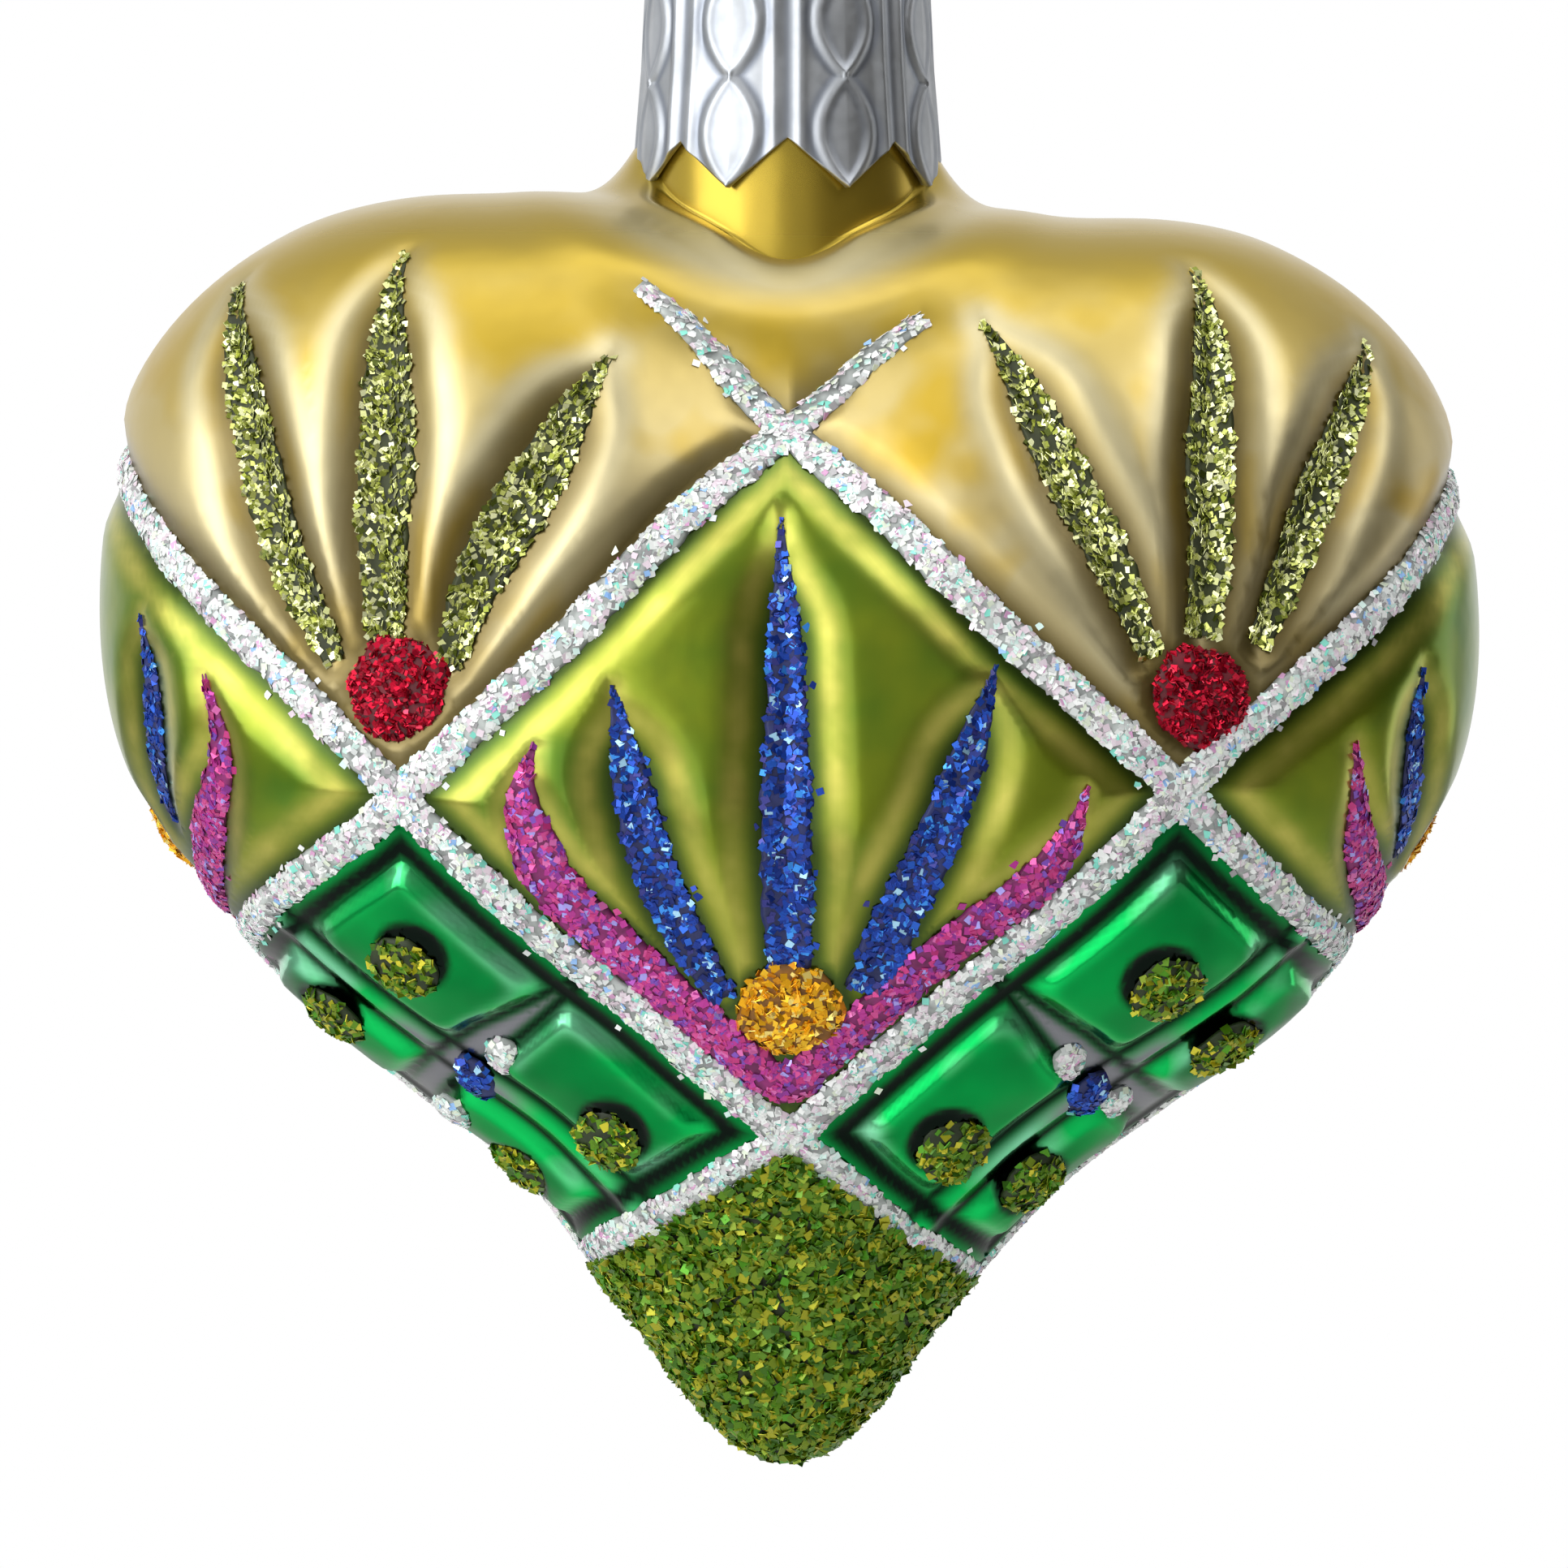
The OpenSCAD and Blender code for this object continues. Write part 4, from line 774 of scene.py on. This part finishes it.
# Sleeve cap: a grid round and up, pushed out along chains of lozenges and twin ribs, its lower edge cut in points
# grey gives place, width and strength of the hollows outside a lozenge, between the ribs and inside a lozenge
cap = {
    "cols": 480, "rows": 110, "points": 8, "notch": 2.7, "drop": 0.7, "sheet": 0.25, "crown": 1.4,
    "heights": [0, 2, 4, 7, 13.3], "radii": [8.5, 8.35, 8.2, 7.95, 7.65], "innerRows": [108, 70, 30, 12, 0],
    "lozenge": 6.1, "half": 1.45, "belly": 0.9, "ridge": 0.2, "ridgeHalf": 0.36, "ribApart": 0.72, "ribHalf": 0.36,
    "puff": 0.18, "puffCurve": 0.7, "fade": 0.06, "grey": [(0.62, 0.3, 1), (0, 0.3, 0.8), (0.45, 0.25, 0.6)],
    "plate": 5, "hole": 2.6, "holeRadius": 0.85, "plateRows": [0, 0.35, 0.7, 0.97, 1], "plateSplit": 60,
}
capLow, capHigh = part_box("cap")[0].z / mm - cap["drop"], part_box("cap")[1].z / mm
turn = fullTurn(cap["cols"])
phase = np.mod((turn + np.pi / 2) * cap["points"] / (2 * np.pi), 1)  # 0 at a notch, a half at a point
apart = np.abs(phase - 0.5)
edge = capLow + cap["notch"] * apart * 2
level = np.linspace(0, 1, cap["rows"])[:, None]
z = edge + (capHigh - cap["crown"] - edge) * level
sleeve = np.interp(z - capLow, cap["heights"], cap["radii"])
pitch = 2 * np.pi * sleeve / cap["points"]
across, beside = apart * pitch, (0.5 - apart) * pitch
wave = cap["half"] * np.abs(np.sin(np.pi * (z - capLow) / cap["lozenge"])) ** cap["belly"]
ridges = np.maximum(bell(across, wave, cap["ridgeHalf"]), bell(beside, cap["ribApart"], cap["ribHalf"]))
puff = np.clip(1 - across / np.maximum(wave, 0.05), 0, 1) ** cap["puffCurve"]
push = (cap["ridge"] * ridges + cap["puff"] * puff) * ease((1 - level) / cap["fade"])
hollow = sum(strong * bell(away, place, wide)
             for away, (place, wide, strong) in zip((across - wave, beside, wave - across), cap["grey"]))
wall = ringPoints(sleeve + push, turn, z)
a = np.linspace(0, np.pi / 2, 9)[1:]
crown = np.column_stack([cap["radii"][-1] - cap["crown"] * (1 - np.cos(a)), capHigh - cap["crown"] * (1 - np.sin(a))])
crown = np.vstack([crown, [[cap["plate"], capHigh]]])
below = crown[::-1] - cap["sheet"] * np.column_stack([crown[::-1, 0] > cap["plate"], np.ones(len(crown))])
inner = ringPoints(sleeve[cap["innerRows"]] - cap["sheet"], turn, z[cap["innerRows"]])
outside, inside = np.vstack([wall, spun(crown, turn)]), np.vstack([spun(below, turn), inner, wall[:1]])
# Top plate: each half a grid from its border in to the hole for the wire, through the hole and back underneath
quarter = cap["cols"] // 4
middle = np.linspace(cap["plate"], -cap["plate"], cap["plateSplit"] + 1)[1:-1]
border = np.vstack([outside[-1, np.arange(-quarter, quarter + 1), :2], np.column_stack([0 * middle, middle])])
centre = np.array([cap["hole"], 0.0])
rim = centre + cap["holeRadius"] * unit(border - centre)
flat = border + (rim - border) * np.array(cap["plateRows"])[:, None, None]
plate = np.vstack([np.dstack([rows, np.full(rows.shape[:2], high)])
                   for rows, high in ((flat, capHigh), (flat[::-1], capHigh - cap["sheet"]))])
grids = [outside, inside, plate, plate * [-1, 1, 1]]
starts = np.cumsum([0] + [g.shape[0] * g.shape[1] for g in grids])
quads = [ringQuads(*g.shape[:2])[:, ::way] + start for g, way, start in zip(grids, (1, 1, 1, -1), starts)]
shade = np.append(np.clip(hollow, 0, 1).ravel(), np.zeros(starts[-1] - hollow.size))
verts = np.vstack([g.reshape(-1, 3) for g in grids])
capPiece = buildPiece("stampedSleeveCap", verts, quads, [sheet], numbers={"pool": shade})
joined = bmesh.new()
joined.from_mesh(capPiece.data)
bmesh.ops.remove_doubles(joined, verts=joined.verts, dist=1e-6)  # the grids share their borders
joined.to_mesh(capPiece.data)
joined.free()
settle(capPiece, "cap", "cap_sheet", "cap")
print("cap stamped")

# Drawn steel wire: bright, with faint die marks that show as patches of softer shine
wire, add, coords = newMaterial("bright drawn steel wire")
die = add("TexNoise", {"Scale": 1500.0}, {"Vector": coords})
rough = add("MapRange", {"To Min": 0.12, "To Max": 0.32}, {"Value": die})
tint = add("ValToRGB", {"stops": [(0.35, "#c6c7ca"), (0.7, "#a3a5a9")]}, {"Fac": die})
surface(add, {"Metallic": 1.0}, {"Base Color": tint, "Roughness": rough})

# Hanger: round wire swept along the loop, the two bends, and the two bowed legs that spring against the bore
hanger = {"wire": 0.6, "loop": 5, "leg": 2.6, "bend": 2, "bow": 12, "out": 5.2, "end": 3, "sides": 14, "legDrop": 1.35}
loop, leg, bend, bow, out = (hanger[key] for key in ("loop", "leg", "bend", "bow", "out"))
bendX = leg + bend
bendZ = -np.sqrt((loop + bend) ** 2 - bendX ** 2)
touch, lean = np.arctan2(-bendZ, bendX), np.arccos(1 - (out - leg) / (2 * bow))
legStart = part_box("cap")[1].z / mm - hanger["legDrop"]
legLow = legStart - 2 * bow * np.sin(lean)
arc = lambda x, z, r, a, b, n: [x, z] + r * np.column_stack([f(np.linspace(a, b, n)) for f in (np.cos, np.sin)])
half = np.vstack([
    arc(0, 0, loop, np.pi / 2, -touch, 60), arc(bendX, bendZ, bend, np.pi - touch, np.pi, 16)[1:],
    arc(leg + bow, legStart, bow, np.pi, np.pi + lean, 20), arc(out - bow, legLow, bow, lean, 0, 20)[1:],
    [[out, legLow - hanger["end"]]]])
spine = np.vstack([half[::-1] * [-1, 1], half[1:]])
along = unit(np.gradient(spine, axis=0))
a = fullTurn(hanger["sides"])
aside, ahead = hanger["wire"] * np.cos(a), hanger["wire"] * np.sin(a)
tube = np.stack([spine[:, :1] - aside * along[:, 1:], ahead + 0 * spine[:, :1], spine[:, 1:] + aside * along[:, :1]], axis=-1)
ends = tube[[0, -1]].mean(1, keepdims=True)
closed = ends + 0.02 * (tube[[0, -1]] - ends)
tube = np.vstack([closed[:1], tube, closed[1:]]).reshape(-1, 3)
tubeQuads = outward(tube, ringQuads(len(spine) + 2, hanger["sides"]))
hangerPiece = buildPiece("wireHanger", tube, [tubeQuads], [wire])
settle(hangerPiece, "hanger", "wire", "hanger")
print("hanger bent")

# Camera: a long lens level with the middle of the heart, 400 mm in front of it
view = {"far": 400, "frame": 86.9, "x": -0.2, "z": -2.9, "sensor": 36}
lens = bpy.data.cameras.new("camera")
lens.sensor_width = view["sensor"]
lens.lens = view["sensor"] * view["far"] / view["frame"]
camera = addObject("camera", lens)
camera.location = (view["x"] * mm, -view["far"] * mm, (heartZ + view["z"]) * mm)
camera.rotation_euler = (np.pi / 2, 0, 0)
scene.camera = camera

# Floor: pale paper well below the hanging heart, white to the camera beyond the shadow
paper = {"half": 1200, "down": 190}
floorMaterial, add, coords = newMaterial("pale paper sweep")
reach = add("VectorMath", {"operation": "LENGTH"}, {0: coords}).outputs["Value"]
far = add("MapRange", {"From Min": 0.1, "From Max": 0.35}, {"Value": reach})
lookedAt = add("Math", {"operation": "MULTIPLY"}, {0: add("LightPath").outputs["Is Camera Ray"], 1: far})
matt = add("BsdfPrincipled", {"Base Color": "#f0f0ee", "Roughness": 0.9})
glow = add("Emission", {"Color": "#ffffff"})
add("OutputMaterial", {}, {"Surface": add("MixShader", {}, {0: lookedAt, 1: matt, 2: glow})})
corners = np.array([[-1, -1, 0], [1, -1, 0], [1, 1, 0], [-1, 1, 0]], float) * paper["half"]
floor = buildPiece("floor", corners, [np.array([[0, 1, 2, 3]])], [floorMaterial])
floor.location.z = (heartZ - paper["down"]) * mm

# Lamps: place from the heart's centre and size in mm, power in watts
# A large soft panel stands close on the left, smaller ones above and beside the camera, a weak one behind on the right
lamps = {
    "left panel": ((-330, -230, 110), (320, 400), 1.2),
    "upper left panel": ((-210, -210, 290), (220, 220), 0.3),
    "upper right panel": ((220, -200, 290), (220, 220), 0.4),
    "top panel": ((0, -70, 380), (320, 160), 0.3),
    "front panel": ((-160, -370, 20), (220, 300), 0.25),
    "right panel": ((340, 130, 40), (120, 300), 0.12),
}
for name, (place, size, power) in lamps.items():
    lamp = bpy.data.lights.new(name, "AREA")
    lamp.shape = "RECTANGLE"
    lamp.size, lamp.size_y = size[0] * mm, size[1] * mm
    lamp.energy = power
    piece = addObject(name, lamp)
    spot = Vector(place) * mm
    piece.location = spot + Vector((0, 0, heartZ * mm))
    piece.rotation_euler = (-spot).to_track_quat("-Z", "Y").to_euler()

# Surround: white to the camera; in reflections a studio that is bright behind and on the left and dark on the right
scene.view_settings.view_transform = "Standard"
world = bpy.data.worlds.new("studio")
scene.world = world
world.use_nodes = True
world.node_tree.nodes.clear()
add = partial(addNode, world.node_tree)
way = add("SeparateXYZ", {}, {0: add("TexCoord").outputs["Generated"]}).outputs
front = add("Math", {"operation": "MULTIPLY", 1: -1.0}, {0: way["Y"]})
angle = add("Math", {"operation": "ARCTAN2"}, {0: way["X"], 1: front})
compass = add("MapRange", {"From Min": -np.pi, "From Max": np.pi}, {"Value": angle})
stops = [(0, "#ffffff"), (0.12, "#ffffff"), (0.3, "#d2d6da"), (0.44, "#c8cbce"), (0.54, "#b8b8b8"), (0.58, "#524e4a"),
         (0.75, "#423f3b"), (0.84, "#8c8c8c"), (0.92, "#ffffff"), (1, "#ffffff")]
horizon = add("ValToRGB", {"stops": stops}, {"Fac": compass})
above = add("MapRange", {"From Min": 0.45, "From Max": 0.8}, {"Value": way["Z"]})
dome = add("Mix", {"data_type": "RGBA", 7: "#e0e0e0"}, {0: above, 6: horizon}).outputs[2]
seen = add("LightPath").outputs
mirrored = add("Math", {"operation": "MAXIMUM"}, {0: seen["Is Glossy Ray"], 1: seen["Is Transmission Ray"]})
ambient = add("Background", {"Color": "#ffffff", "Strength": 0.4})
studio = add("Background", {}, {"Color": dome})
white = add("Background", {"Color": "#ffffff"})
lit = add("MixShader", {}, {0: mirrored, 1: ambient, 2: studio})
add("OutputWorld", {}, {"Surface": add("MixShader", {}, {0: seen["Is Camera Ray"], 1: lit, 2: white})})
print("lit")
